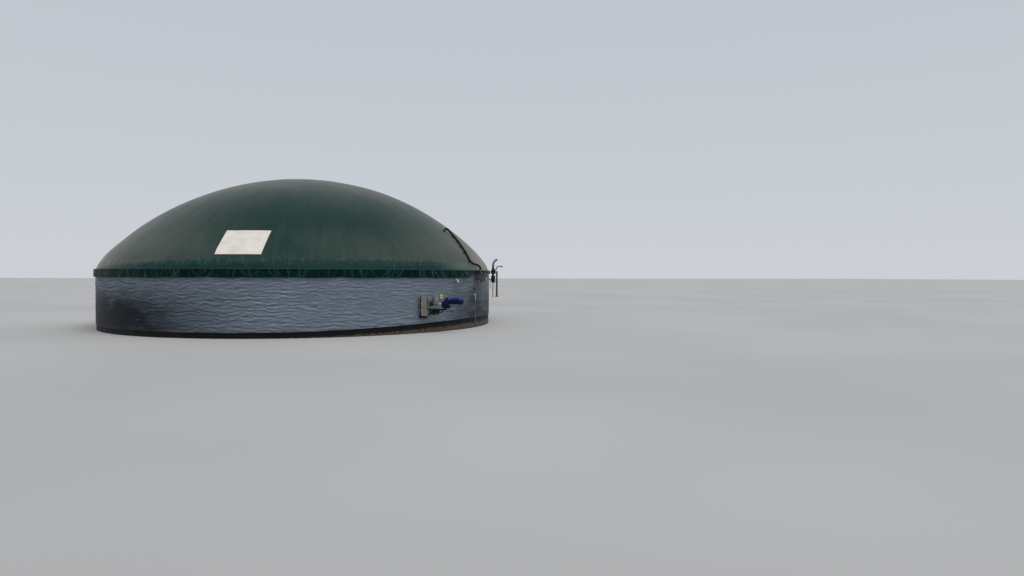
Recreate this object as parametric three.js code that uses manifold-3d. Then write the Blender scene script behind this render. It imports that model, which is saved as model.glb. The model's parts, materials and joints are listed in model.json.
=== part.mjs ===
// Biogas digester: a round, insulated concrete tank under an air-held membrane dome.
// Millimetres, +Z up. The origin is on the tank's axis at ground level.
// Azimuth is the angle round the axis, in degrees, from -Y towards +X.
import * as THREE from 'three';
import { mergeVertices } from 'three/addons/utils/BufferGeometryUtils.js';
import Module from 'manifold-3d';

const wasm = await Module();
wasm.setup();

// Driving dimensions of the tank
const GAP = 0.3; // left between pieces that rest on each other
const SAME = 0.01; // what lies closer than this counts as one point
const FLAT_DEG = 5; // the round is a 72-sided polygon, with corners at multiples of this
const ROUND_SIDES = 360 / FLAT_DEG;
const INNER_RADIUS = 13000;
const CONCRETE_THICKNESS = 300;
const INSULATION_THICKNESS = 100;
const FLOOR_THICKNESS = 280;
const WALL_TOP = 3700;
const STRIP_HEIGHT = FLOOR_THICKNESS;
const STRIP_THICKNESS = 50;
const CLADDING_SEAM = 53.8; // azimuth of the visible upright joint
const SECTION_DEG = 60; // the wall and its cladding come in six sections
const JOINT_COVER = { width: 90, thickness: 10 };

// Driving dimensions of the roof
const RIM_HEIGHT = 70;
const RIM_INSET = 20;
const RIM_OVERHANG = 30;
const RAIL_HEIGHT = 40;
const SKIRT_DROP = 370;
const SKIRT_DEPTH = 45;
const DOME_RADIUS = 13370;
const DOME_FOOT_LEAN = 67; // how far the membrane's outward normal leans at its foot, in degrees
const CROWN_RADIUS = 17400;
const KNUCKLE_RADIUS = 4100;
const MEMBRANE_THICKNESS = 40;
const CROWN_STEPS = 10;
const KNUCKLE_STEPS = 4;
const SIGN = { left: -22.3, lowRight: -10.9, highRight: -9.8, top: 11550, bottom: 12910, thickness: 12 };

// Driving dimensions of the mixer; those along the shaft are measured from its flange
const MIXER = { azimuth: 29.4, width: 520, inset: 180, depth: 270, low: 1040, high: 2230 };
const COVER = { margin: 20, thickness: 18 };
const LUG = { width: 45, height: 60 };
const LUG_PLACES = [[0.42, 0], [0.12, 25], [-0.2, 60]]; // share of the height, reach past the cover
const SHAFT = { skew: 36, height: 1780, side: 400, out: 250, radius: 60 };
const SPIGOT = { radius: 180, reach: 700 };
const FLANGE = { width: 500, height: 700, thickness: 24, raised: 70 };
const SEAL = { foot: 170, body: 130, nose: 85, length: 265 };
const SLEEVE = { radius: 72, end: 590 };
const GEARBOX = { start: 815, end: 1310, low: -250, width: 320, hub: 140, hubLength: 42 };
const MOTOR = { height: 1935, start: 1190, bell: 130, barrel: 550, root: 168, tip: 190, fins: 20 };
const MOTOR_FOOT = { width: 170, height: 30, bottom: 184, short: 120 };
const COWL = { radius: 200, rim: 170, length: 215 };
const TERMINAL_BOX = { width: 180, length: 210, height: 75, at: 330 };
const ARM = { size: 100, length: 1980, end: 1080, top: -300, brace: 60 };
const JACK = { radius: 45, at: 990 };
const CABLE_START = 1200;
const CABLE_RADIUS = 10;

// Driving dimensions of the fittings on the wall
const SIGHT_PORT = { azimuth: 36.3, height: 2180, radius: 150, glass: 90, depth: 40, glassDepth: 30 };
const SWITCH_BOX = { azimuth: 34.1, height: 2010, width: 300, tall: 360, depth: 120 };
const OVERFLOW = { azimuth: 42.5, height: 3210, radius: 55 };
const CABLE_CLIP = { azimuth: 41, height: 1210, plate: 60, thickness: 12, pin: 22, length: 90 };
const PROBE = { azimuth: 52.9, height: 2600, flange: 60, head: 40, length: 110 };
const SAMPLER = { azimuth: 52.9, height: 2210, reach: 110, flange: 50, branch: 28, body: 45, stem: 22 };
const SAMPLER_DROP = 360;
const LEVEL_PIPE = { azimuth: 77, radius: 25, high: 3300, low: 2480, out: 110 };

// Driving dimensions of the blower; out is measured from the wall
const BLOWER = { azimuth: 55.2, shelf: 3520, reach: 700, width: 340, drop: 390, lip: 65, plate: 10 };
const SKIRT_CLEARANCE = 25;
const FAN = { out: 375, radius: 105, growth: 25, width: 120, foot: 90, sides: 24 };
const FAN_NECK = { aside: 130, rise: 200, length: 150, slack: 12 };
const FAN_MOTOR = { radius: 70, shoulder: 140, nose: 58, length: 165 };
const FILTER = { radius: 50, end: 32, length: 190, stem: 16 };
const FILTER_PLACES = [[295, 3030], [505, 3080]]; // out from the wall, and the filter's low end
const HOSE_RADIUS = 70;
const HOSE_STEPS = 60;
const HOSE_REST = HOSE_RADIUS + 25; // the hose's centre above the dome where it lies on it
const INLET = { azimuth: 55.5, radius: 10930, collar: 150, cuff: 90, stub: 60 };

// Driving dimensions of the relief valve and its pipes; out is measured from the pot's axis
const RELIEF = { azimuth: 82.5, out: 430, potLow: 2920, potHigh: 3450, potRadius: 160, potFlange: 190 };
const BRACKET = { height: 3180, width: 260, tall: 300, plate: 12, arm: 80 };
const VALVE_HEIGHT = 540;
const GAS_PORT = { radius: 72, reach: 200, up: 320 };
const AIR_PORT = { radius: 42, reach: 180, up: 495 };
const VENT_RADIUS = 85;
const DOWNPIPE = { radius: 75, out: 292, low: 1900, flange: 125, flangeDepth: 40 };
const CROSSOVER = { radius: 38, rise: 750, reach: 700, flange: 105, flangeDepth: 22 };
const DRAIN = { radius: 55, low: 1820, collar: 78, collarDepth: 60, collarAt: 2320, valveAt: 1960 };
const DRAIN_VALVE = { length: 190, size: 60 };

// Derived dimensions
const WALL_RADIUS = INNER_RADIUS + CONCRETE_THICKNESS;
const CLAD_RADIUS = WALL_RADIUS + INSULATION_THICKNESS;
const CLAD_FLAT = CLAD_RADIUS * Math.cos(THREE.MathUtils.degToRad(FLAT_DEG / 2));
const RIM_RADIUS = CLAD_RADIUS + RIM_OVERHANG;
const RAIL_RADIUS = RIM_RADIUS + SKIRT_DEPTH;
const RIM_TOP = WALL_TOP + RIM_HEIGHT;
const RAIL_TOP = RIM_TOP + RAIL_HEIGHT;
const SKIRT_BOTTOM = RIM_TOP - SKIRT_DROP;
const DOME_FOOT = RAIL_TOP + GAP;
const FOOT_LEAN = THREE.MathUtils.degToRad(DOME_FOOT_LEAN);
const KNUCKLE_CENTRE = DOME_RADIUS - KNUCKLE_RADIUS * Math.sin(FOOT_LEAN);
const KNUCKLE_CENTRE_Z = DOME_FOOT - KNUCKLE_RADIUS * Math.cos(FOOT_LEAN);
const CROWN_DROP = Math.sqrt((CROWN_RADIUS - KNUCKLE_RADIUS) ** 2 - KNUCKLE_CENTRE ** 2);
const CROWN_CENTRE_Z = KNUCKLE_CENTRE_Z - CROWN_DROP;
const CROWN_ANGLE = Math.atan2(KNUCKLE_CENTRE, CROWN_DROP);

const rad = THREE.MathUtils.degToRad;
const vector = (x, y, z) => new THREE.Vector3(x, y, z);

// Materials
const COLOURS = {
  concrete: [0x8f8d86, 0.9, 0],
  bitumen: [0x121315, 0.75, 0],
  cladding: [0x66727e, 0.6, 0],
  galvanized: [0x9aa0a1, 0.45, 0.8],
  membrane: [0x3f5247, 0.7, 0],
  skirt: [0x123a35, 0.6, 0],
  signWhite: [0xd8d8d4, 0.6, 0],
  rubber: [0x16171a, 0.8, 0],
  greySteel: [0x8b8a80, 0.6, 0.1],
  darkSteel: [0x2c2c2d, 0.6, 0.3],
  blue: [0x123a7c, 0.45, 0.1],
  stainless: [0xb4b5b3, 0.3, 1],
  yellow: [0xd8c43a, 0.5, 0],
  glass: [0x1a1c1e, 0.1, 0],
  lightGrey: [0x8a8894, 0.5, 0],
  pvcWhite: [0xd2cfca, 0.5, 0],
  rust: [0x5a4434, 0.8, 0.2],
};

function material(name) {
  const [color, roughness, metalness] = COLOURS[name];
  return new THREE.MeshStandardMaterial({ color, roughness, metalness });
}

// Solids

// Welds the corners of a closed geometry and turns its faces outwards
function solid(geometry) {
  const bare = geometry.clone();
  bare.deleteAttribute('normal');
  bare.deleteAttribute('uv');
  const welded = mergeVertices(bare, SAME);
  const corners = welded.index.array;
  const kept = [];
  for (let i = 0; i < corners.length; i += 3) {
    const [a, b, c] = [corners[i], corners[i + 1], corners[i + 2]];
    if (a !== b && b !== c && c !== a) kept.push(a, b, c);
  }
  welded.setIndex(kept);
  if (signedVolume(welded) < 0) welded.setIndex(kept.reverse());
  return welded;
}

function signedVolume(geometry) {
  const place = geometry.attributes.position;
  const [a, b, c] = [vector(0, 0, 0), vector(0, 0, 0), vector(0, 0, 0)];
  let sum = 0;
  for (let i = 0; i < geometry.index.count; i += 3) {
    a.fromBufferAttribute(place, geometry.index.getX(i));
    b.fromBufferAttribute(place, geometry.index.getX(i + 1));
    c.fromBufferAttribute(place, geometry.index.getX(i + 2));
    sum += a.dot(b.cross(c)) / 6;
  }
  return sum;
}

function toManifold(geometry) {
  const closed = solid(geometry);
  const vertProperties = new Float32Array(closed.attributes.position.array);
  const triVerts = new Uint32Array(closed.index.array);
  return new wasm.Manifold(new wasm.Mesh({ numProp: 3, vertProperties, triVerts }));
}

function fromManifold(body) {
  const { vertProperties, triVerts } = body.getMesh();
  const geometry = new THREE.BufferGeometry();
  geometry.setAttribute('position', new THREE.BufferAttribute(vertProperties, 3));
  geometry.setIndex(new THREE.BufferAttribute(triVerts, 1));
  return geometry;
}

function fuse(...geometries) {
  return fromManifold(geometries.map(toManifold).reduce((sum, next) => sum.add(next)));
}

function carve(geometry, ...cutters) {
  const whole = toManifold(geometry);
  return fromManifold(cutters.map(toManifold).reduce((rest, cut) => rest.subtract(cut), whole));
}

function node(name, colour, geometry) {
  const closed = solid(geometry);
  closed.computeVertexNormals();
  const mesh = new THREE.Mesh(closed, material(colour));
  mesh.name = name;
  return mesh;
}

// Shapes

function box(width, depth, height, x = 0, y = 0, z = 0) {
  return new THREE.BoxGeometry(width, depth, height).translate(x, y, z);
}

// A cylinder from z = 0 up
function upright(radius, height, sides = 20) {
  const geometry = new THREE.CylinderGeometry(radius, radius, height, sides);
  return geometry.rotateX(Math.PI / 2).translate(0, 0, height / 2);
}

// A turned solid about +Z; the profile holds [radius, height] pairs
function turned(profile, sides = 20) {
  const points = profile.map(([radius, height]) => new THREE.Vector2(radius, height));
  return new THREE.LatheGeometry(points, sides).rotateX(Math.PI / 2);
}

// Lays a solid that stands on +Z down along -Y, the outward direction of a fixture
function outward(geometry) {
  return geometry.rotateX(Math.PI / 2);
}

function prism(outline, height) {
  const shape = new THREE.Shape(outline.map(([x, y]) => new THREE.Vector2(x, y)));
  return new THREE.ExtrudeGeometry(shape, { depth: height, bevelEnabled: false });
}

// A plate with its outline in the plane of -Y (out) and +Z (up), centred on x = 0
function sidePlate(outline, width) {
  return prism(outline, width).rotateX(Math.PI / 2).rotateZ(-Math.PI / 2).translate(width / 2, 0, 0);
}

// A round bar along a curve through the points
function pipe(points, radius, steps, sides = 12, tension = 0.5) {
  const extrudePath = new THREE.CatmullRomCurve3(points, false, 'catmullrom', tension);
  const section = [];
  for (let i = 0; i < sides; i += 1) {
    const turn = (2 * Math.PI * i) / sides;
    section.push(new THREE.Vector2(radius * Math.cos(turn), radius * Math.sin(turn)));
  }
  return new THREE.ExtrudeGeometry(new THREE.Shape(section), { steps, extrudePath });
}

// The round of the tank

function polar(azimuth, radius, z = 0) {
  return vector(radius * Math.sin(rad(azimuth)), -radius * Math.cos(rad(azimuth)), z);
}

// The distance from the axis to the polygon whose corners lie at this radius
function flatRadius(azimuth, radius) {
  const fromCorner = azimuth - FLAT_DEG * Math.floor(azimuth / FLAT_DEG);
  return (radius * Math.cos(rad(FLAT_DEG / 2))) / Math.cos(rad(fromCorner - FLAT_DEG / 2));
}

function arc(radius, from, to) {
  const turns = [from];
  const firstCorner = FLAT_DEG * (Math.floor(from / FLAT_DEG) + 1);
  for (let at = firstCorner; at < to - SAME; at += FLAT_DEG) turns.push(at);
  turns.push(to);
  return turns.map((at) => {
    const { x, y } = polar(at, flatRadius(at, radius));
    return [x, y];
  });
}

function wallSection(inner, outer, low, high, from, to) {
  const outline = [...arc(outer, from, to), ...arc(inner, from, to).reverse()];
  return prism(outline, high - low).translate(0, 0, low);
}

function ring(inner, outer, low, high) {
  return turned([[inner, low], [outer, low], [outer, high], [inner, high], [inner, low]], ROUND_SIDES);
}

function disc(radius, low, high, sides = ROUND_SIDES) {
  return turned([[0, low], [radius, low], [radius, high], [0, high]], sides);
}

// A group that stands on the flat of the cladding at this azimuth: +X along it, -Y outwards
function onCladding(azimuth, ...children) {
  const middle = FLAT_DEG * (Math.floor(azimuth / FLAT_DEG) + 0.5);
  const flat = CLAD_FLAT + GAP;
  const group = new THREE.Group();
  group.position.copy(polar(middle, flat));
  group.position.addScaledVector(polar(middle + 90, 1), flat * Math.tan(rad(azimuth - middle)));
  group.rotation.z = rad(middle);
  children.forEach((child) => group.add(child));
  group.updateMatrixWorld(true);
  return group;
}

// A group that stands off the corner line of the cladding, square to the azimuth
function atCladding(azimuth, ...children) {
  const group = new THREE.Group();
  group.position.copy(polar(azimuth, CLAD_RADIUS + GAP));
  group.rotation.z = rad(azimuth);
  children.forEach((child) => group.add(child));
  return group;
}

// The dome

// The point of the dome at this distance from the axis, raised by lift along the normal
function onDome(azimuth, radius, lift = 0) {
  const onKnuckle = radius > CROWN_RADIUS * Math.sin(CROWN_ANGLE);
  const centre = onKnuckle ? KNUCKLE_CENTRE : 0;
  const centreZ = onKnuckle ? KNUCKLE_CENTRE_Z : CROWN_CENTRE_Z;
  const bend = onKnuckle ? KNUCKLE_RADIUS : CROWN_RADIUS;
  const lean = Math.asin(Math.min(1, (radius - centre) / bend));
  const out = centre + (bend + lift) * Math.sin(lean);
  return polar(azimuth, out, centreZ + (bend + lift) * Math.cos(lean));
}

// The profile from the apex to the foot, at this distance off the outer face
function domeProfile(lift, crownSteps, knuckleSteps) {
  const bend = KNUCKLE_RADIUS + lift;
  const footLean = Math.acos((DOME_FOOT - KNUCKLE_CENTRE_Z) / bend); // so that the foot stays level
  const profile = [];
  for (let i = 0; i <= crownSteps; i += 1) {
    const lean = (CROWN_ANGLE * i) / crownSteps;
    const crown = CROWN_RADIUS + lift;
    profile.push([crown * Math.sin(lean), CROWN_CENTRE_Z + crown * Math.cos(lean)]);
  }
  for (let i = 1; i <= knuckleSteps; i += 1) {
    const lean = CROWN_ANGLE + ((footLean - CROWN_ANGLE) * i) / knuckleSteps;
    profile.push([KNUCKLE_CENTRE + bend * Math.sin(lean), KNUCKLE_CENTRE_Z + bend * Math.cos(lean)]);
  }
  return profile;
}

// The inner side of a shell takes one flat for each few of the outer side
function domeShell(inside, outside, coarser = 1) {
  const outer = domeProfile(outside, CROWN_STEPS, KNUCKLE_STEPS);
  const inner = domeProfile(inside, CROWN_STEPS / coarser, KNUCKLE_STEPS / coarser);
  return turned([...outer, ...inner.reverse()], ROUND_SIDES);
}

// Keeps the part of a shell above a patch between two radii, whose right side slants
function carveToPatch(shell, patch) {
  const near = arc(patch.bottom, patch.left, patch.lowRight);
  const far = arc(patch.top, patch.left, patch.highRight).reverse();
  const column = prism([...near, ...far], CROWN_RADIUS).translate(0, 0, RAIL_TOP);
  return fromManifold(toManifold(shell).intersect(toManifold(column)));
}

// Sub-assemblies

function tank() {
  const strip = ring(WALL_RADIUS + GAP, WALL_RADIUS + STRIP_THICKNESS, 0, STRIP_HEIGHT);
  const pieces = [
    node('floor_slab', 'concrete', disc(WALL_RADIUS, 0, FLOOR_THICKNESS)),
    node('base_strip', 'bitumen', strip),
  ];
  const hair = GAP / 2 / (CLAD_RADIUS * rad(1)); // half a gap as an angle
  for (let i = 0; i < 360 / SECTION_DEG; i += 1) {
    const from = CLADDING_SEAM - SECTION_DEG * (i + 1) + hair;
    const to = CLADDING_SEAM - SECTION_DEG * i - hair;
    const wall = wallSection(INNER_RADIUS, WALL_RADIUS, FLOOR_THICKNESS + GAP, WALL_TOP, from, to);
    const cladding = wallSection(WALL_RADIUS + GAP, CLAD_RADIUS, STRIP_HEIGHT + GAP, WALL_TOP, from, to);
    pieces.push(node(`wall_section_${i + 1}`, 'concrete', wall));
    pieces.push(node(`cladding_section_${i + 1}`, 'cladding', cladding));
  }
  const { width, thickness } = JOINT_COVER;
  const middle = (SKIRT_BOTTOM + STRIP_HEIGHT) / 2;
  const cover = box(width, thickness, SKIRT_BOTTOM - STRIP_HEIGHT, 0, -thickness / 2, middle);
  pieces.push(onCladding(CLADDING_SEAM, node('joint_cover', 'galvanized', cover)));
  return pieces;
}

function roof() {
  const rim = ring(INNER_RADIUS + RIM_INSET, RIM_RADIUS, WALL_TOP + GAP, RIM_TOP);
  const rail = ring(DOME_RADIUS - 2 * MEMBRANE_THICKNESS, RAIL_RADIUS, RIM_TOP + GAP, RAIL_TOP);
  const skirt = ring(RIM_RADIUS + GAP, RAIL_RADIUS, SKIRT_BOTTOM, RIM_TOP);
  const sign = carveToPatch(domeShell(GAP, SIGN.thickness), SIGN);
  return [
    node('rim_ring', 'galvanized', rim),
    node('clamp_rail', 'membrane', rail),
    node('edge_skirt', 'skirt', skirt),
    node('outer_membrane', 'membrane', domeShell(-MEMBRANE_THICKNESS, 0, 2)),
    node('dome_sign', 'signWhite', sign),
  ];
}

// The mixer: a service box on the wall, from whose side the skewed shaft comes out
function mixer() {
  const boxGroup = atCladding(MIXER.azimuth, ...mixerBox());

  // The shaft's own frame: the origin is where the shaft crosses the flange, -Y runs along it
  const place = new THREE.Group();
  place.position.set(SHAFT.side, -SHAFT.out, SHAFT.height);
  place.rotation.z = rad(SHAFT.skew);
  place.add(...shaftLine(), ...gearMotor());
  boxGroup.add(place);
  boxGroup.updateMatrixWorld(true);

  const spigot = outward(upright(SPIGOT.radius, SPIGOT.reach)).translate(0, SPIGOT.reach + GAP, 0);
  const wallSolid = disc(CLAD_RADIUS + GAP, 0, WALL_TOP);
  const boxRoom = mixerBoxBody(GAP, 3 * MIXER.depth).translate(0, MIXER.depth, 0);
  boxRoom.applyMatrix4(boxGroup.matrixWorld);
  const toWall = (name, geometry) =>
    node(name, 'darkSteel', carve(geometry.applyMatrix4(place.matrixWorld), wallSolid, boxRoom));
  return [
    boxGroup,
    toWall('mixer_spigot', spigot),
    toWall('support_arm', supportArm()),
    node('motor_cable', 'rubber', cableFromGearbox(place)),
  ];
}

// The box's plain body, from the wall's face outwards, with some room round its sides
function mixerBoxBody(room = 0, depth = MIXER.depth) {
  const width = MIXER.width - MIXER.inset;
  const height = MIXER.high - MIXER.low;
  const middle = (MIXER.low + MIXER.high) / 2;
  return box(width + 2 * room, depth, height + 2 * room, MIXER.inset / 2, -depth / 2, middle);
}

// The cover stands past the body's left side, and lugs hold that edge to the wall
function mixerBox() {
  const middle = (MIXER.low + MIXER.high) / 2;
  const height = MIXER.high - MIXER.low;
  const width = MIXER.width - 2 * COVER.margin;
  const front = MIXER.depth + GAP + COVER.thickness;
  const plateOut = front - COVER.thickness / 2;
  const plate = box(width, COVER.thickness, height - 2 * COVER.margin, 0, -plateOut, middle);
  const lugs = LUG_PLACES.flatMap(([share, reach]) => {
    const z = middle + share * height;
    const [armWidth, armMiddle] = [LUG.width + reach, -(width + reach - LUG.width) / 2];
    return [
      box(armWidth, COVER.thickness, LUG.height, armMiddle, -plateOut, z),
      box(LUG.width, front, LUG.height, -width / 2 - reach + LUG.width / 2, -front / 2, z),
    ];
  });
  return [
    node('mixer_box', 'greySteel', mixerBoxBody()),
    node('mixer_box_cover', 'greySteel', fuse(plate, ...lugs)),
  ];
}

function shaftLine() {
  const { foot, body, nose, length } = SEAL;
  const sealProfile = [
    [0, 0], [foot, 0], [foot, 60], [body, 80], [body, length - 60], [nose, length - 20], [nose, length],
    [0, length],
  ];
  const sealStart = FLANGE.thickness + GAP;
  const sleeveStart = sealStart + length + GAP;
  const tubeStart = SLEEVE.end + GAP;
  const tubeLength = GEARBOX.start - GEARBOX.hubLength + 2 - tubeStart - GAP;
  const flange = box(FLANGE.width, FLANGE.thickness, FLANGE.height, 0, -FLANGE.thickness / 2, FLANGE.raised);
  const sleeve = outward(upright(SLEEVE.radius, SLEEVE.end - sleeveStart)).translate(0, -sleeveStart, 0);
  const tube = outward(upright(SHAFT.radius, tubeLength)).translate(0, -tubeStart, 0);
  return [
    node('mixer_flange', 'greySteel', flange),
    node('seal_housing', 'darkSteel', outward(turned(sealProfile)).translate(0, -sealStart, 0)),
    node('shaft_sleeve', 'rust', sleeve),
    node('shaft_tube', 'stainless', tube),
  ];
}

function gearMotor() {
  const { start, end, low, width, hub, hubLength } = GEARBOX;
  const outline = [
    [start, -190], [start + 30, low], [end - 30, low], [end, -190], [end, -50],
    [MOTOR.start, -40], [MOTOR.start, 345], [start + 230, 350], [start, 60],
  ];
  const hubStart = start - hubLength + 2; // the hub reaches 2 mm into the housing
  const gearbox = fuse(
    sidePlate(outline, width),
    outward(upright(hub, hubLength)).translate(0, -hubStart, 0),
  );
  const bellProfile = [
    [0, 0], [170, 0], [170, 25], [145, 50], [145, 90], [195, 108], [195, MOTOR.bell], [0, MOTOR.bell],
  ];
  const cowlProfile = [
    [0, 0], [COWL.radius, 0], [COWL.radius, COWL.rim], [COWL.radius - 21, COWL.length - 6],
    [0, COWL.length],
  ];
  const axisZ = MOTOR.height - SHAFT.height;
  const bodyStart = MOTOR.start + MOTOR.bell + 2 * GAP;
  const cowlStart = bodyStart + MOTOR.barrel + GAP;
  const footFace = MOTOR_FOOT.bottom + MOTOR_FOOT.height;
  const { width: boxWidth, length: boxLength, height: boxHeight, at } = TERMINAL_BOX;
  const boxSide = -(footFace + GAP + boxHeight / 2);
  const jackHeight = low - ARM.top - 2 * GAP;
  return [
    node('gearbox', 'blue', gearbox),
    node('motor_bell', 'blue', outward(turned(bellProfile)).translate(0, -MOTOR.start - GAP, axisZ)),
    node('motor_body', 'blue', motorBody().translate(0, -bodyStart, axisZ)),
    node('motor_cowl', 'blue', outward(turned(cowlProfile)).translate(0, -cowlStart, axisZ)),
    node('terminal_box', 'blue', box(boxHeight, boxLength, boxWidth, boxSide, -MOTOR.start - at, axisZ)),
    node('jack_post', 'darkSteel', upright(JACK.radius, jackHeight).translate(0, -JACK.at, ARM.top + GAP)),
  ];
}

// A finned motor barrel lying along -Y, with a flat foot on its near side for the terminal box
function motorBody() {
  const { fins, root, tip, barrel } = MOTOR;
  const outline = [];
  for (let i = 0; i < fins; i += 1) {
    const steps = [[0.1, root], [0.3, tip], [0.7, tip], [0.9, root]];
    steps.forEach(([share, radius]) => {
      const turn = (2 * Math.PI * (i + share)) / fins;
      outline.push([radius * Math.cos(turn), radius * Math.sin(turn)]);
    });
  }
  const { width, height, bottom, short } = MOTOR_FOOT;
  const foot = box(height, barrel - short, width, -(bottom + height / 2), -barrel / 2, 0);
  return fuse(outward(prism(outline, barrel)), foot);
}

// The arm under the gearbox, which runs back past the wall's face, and its brace below
function supportArm() {
  const { size, length, end, top, brace } = ARM;
  const low = top - size;
  const slope = [[360, low], [520, low], [-450, low - 567], [-450, low - 473]];
  return fuse(box(size, length, size, 0, length / 2 - end, top - size / 2), sidePlate(slope, brace));
}

// The cable from under the gearbox to its clip on the wall, in the tank's frame
function cableFromGearbox(place) {
  const drop = [
    [0, -CABLE_START, GEARBOX.low - GAP], [0, -CABLE_START, -310], [120, -CABLE_START, -400],
    [420, -CABLE_START + 60, -480], [900, -CABLE_START + 300, -535],
  ];
  const approach = [[-200, -64, 10], [-CABLE_CLIP.pin - GAP, -60, 0]];
  const clip = onCladding(CABLE_CLIP.azimuth);
  const points = [
    ...drop.map(([x, y, z]) => place.localToWorld(vector(x, y, z))),
    ...approach.map(([x, y, z]) => clip.localToWorld(vector(x, y, CABLE_CLIP.height + z))),
  ];
  return pipe(points, CABLE_RADIUS, 20, 8);
}

function wallFittings() {
  return [
    onCladding(SIGHT_PORT.azimuth, ...sightPort()),
    onCladding(SWITCH_BOX.azimuth, switchBox()),
    onCladding(OVERFLOW.azimuth, overflowElbow()),
    onCladding(PROBE.azimuth, levelProbe()),
    onCladding(SAMPLER.azimuth, samplingValve()),
    onCladding(CABLE_CLIP.azimuth, cableClip()),
    onCladding(LEVEL_PIPE.azimuth, levelPipe()),
  ];
}

function sightPort() {
  const { height, radius, glass, depth, glassDepth } = SIGHT_PORT;
  const ringProfile = [[glass, 0], [radius, 0], [radius, depth], [glass, depth], [glass, 0]];
  const pane = outward(upright(glass - GAP, glassDepth)).translate(0, 0, height);
  return [
    node('sight_port_ring', 'yellow', outward(turned(ringProfile)).translate(0, 0, height)),
    node('sight_port_glass', 'glass', pane),
  ];
}

function switchBox() {
  const { width, depth, tall, height } = SWITCH_BOX;
  return node('switch_box', 'lightGrey', box(width, depth, tall, 0, -depth / 2, height));
}

function overflowElbow() {
  const bend = [[0, 0, 0], [0, -90, 0], [0, -165, -25], [0, -190, -100], [0, -190, -170]];
  const points = bend.map(([x, y, z]) => vector(x, y, z + OVERFLOW.height));
  return node('overflow_elbow', 'pvcWhite', pipe(points, OVERFLOW.radius, 12));
}

function levelProbe() {
  const { flange, head, length, height } = PROBE;
  const profile = [[0, 0], [flange, 0], [flange, 25], [head, 30], [head, length], [0, length]];
  return node('level_probe', 'darkSteel', outward(turned(profile)).translate(0, 0, height));
}

function samplingValve() {
  const { height, reach, flange, branch, body, stem } = SAMPLER;
  const valve = fuse(
    outward(upright(flange, 20, 12)).translate(0, 0, height),
    outward(upright(branch, reach + 20, 12)).translate(0, 0, height),
    upright(body, 2 * body, 12).translate(0, -reach, height - body),
    upright(stem, SAMPLER_DROP - body + 5, 12).translate(0, -reach, height - SAMPLER_DROP),
  );
  return node('sampling_valve', 'pvcWhite', valve);
}

function cableClip() {
  const { height, plate, thickness, pin, length } = CABLE_CLIP;
  const clip = fuse(outward(upright(plate, thickness)), outward(upright(pin, length)));
  return node('cable_clip', 'darkSteel', clip.translate(0, 0, height));
}

// A thin gauge pipe beside the relief valve, from the wall down
function levelPipe() {
  const { radius, high, low, out } = LEVEL_PIPE;
  const points = [
    vector(0, 0, high), vector(0, 40 - out, high), vector(0, -out, high - 40),
    vector(0, -out, high - 140), vector(0, -out, low),
  ];
  return node('level_pipe', 'pvcWhite', pipe(points, radius, 16, 8, 0.3));
}

// The blower that holds the dome up: a wall console, the fan, its motor and the air hose
function blower() {
  const fanZ = BLOWER.shelf + GAP + FAN.radius + FAN.growth;
  const neckTop = fanZ + FAN_NECK.rise;
  const neckOut = FAN.out - FAN_NECK.aside;
  const group = onCladding(
    BLOWER.azimuth,
    node('blower_console', 'galvanized', blowerConsole()),
    node('blower_housing', 'darkSteel', fanHousing(fanZ, neckOut, neckTop)),
    node('blower_motor', 'darkSteel', fanMotor(fanZ)),
    ...intakeFilters(),
  );
  return [group, ...airHose(group, neckOut, neckTop)];
}

function blowerConsole() {
  const { shelf, reach, width, drop, lip, plate } = BLOWER;
  const skirtClear = RAIL_RADIUS - CLAD_FLAT + SKIRT_CLEARANCE;
  const low = shelf - drop;
  const backTop = SKIRT_BOTTOM - 20;
  const cheekOutline = [
    [0, low], [reach, shelf - lip], [reach, shelf], [skirtClear, shelf], [skirtClear, backTop], [0, backTop],
  ];
  const cheeks = [-1, 1].map((side) =>
    sidePlate(cheekOutline, plate).translate((side * (width - plate)) / 2, 0, 0));
  const back = box(width, plate, backTop - low, 0, -plate / 2, (backTop + low) / 2);
  const top = box(width, reach - skirtClear, plate, 0, -(reach + skirtClear) / 2, shelf - plate / 2);
  return fuse(...cheeks, back, top);
}

function fanHousing(fanZ, neckOut, neckTop) {
  const { out, width, foot } = FAN;
  const footHeight = fanZ - BLOWER.shelf - GAP;
  const scroll = spiral().map(([along, up]) => [out + along, fanZ + up]);
  const neck = upright(HOSE_RADIUS - FAN_NECK.slack, FAN_NECK.length);
  return fuse(
    sidePlate(scroll, width),
    box(width, foot, footHeight, 0, -out, fanZ - footHeight / 2),
    neck.translate(0, -neckOut, neckTop - FAN_NECK.length),
  );
}

// The outline of the fan's scroll, whose radius grows through one turn
function spiral() {
  const outline = [];
  for (let i = 0; i < FAN.sides; i += 1) {
    const turn = (2 * Math.PI * i) / FAN.sides;
    const reach = FAN.radius + (FAN.growth * i) / FAN.sides;
    outline.push([reach * Math.cos(turn), reach * Math.sin(turn)]);
  }
  return outline;
}

function fanMotor(fanZ) {
  const { radius, shoulder, nose, length } = FAN_MOTOR;
  const barrel = turned([[0, 0], [radius, 0], [radius, shoulder], [nose, length], [0, length]]);
  return barrel.rotateY(Math.PI / 2).translate(FAN.width / 2 + GAP, -FAN.out, fanZ);
}

// Two filters that hang on stems from the underside of the console's shelf
function intakeFilters() {
  const { radius, end, length, stem } = FILTER;
  return FILTER_PLACES.map(([out, low], i) => {
    const top = BLOWER.shelf - BLOWER.plate - GAP - low;
    const profile = [
      [0, 0], [end, 0], [radius, 18], [radius, length - 18], [end, length],
      [stem, length], [stem, top], [0, top],
    ];
    return node(`intake_filter_${i + 1}`, 'darkSteel', turned(profile, 16).translate(0, -out, low));
  });
}

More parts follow.
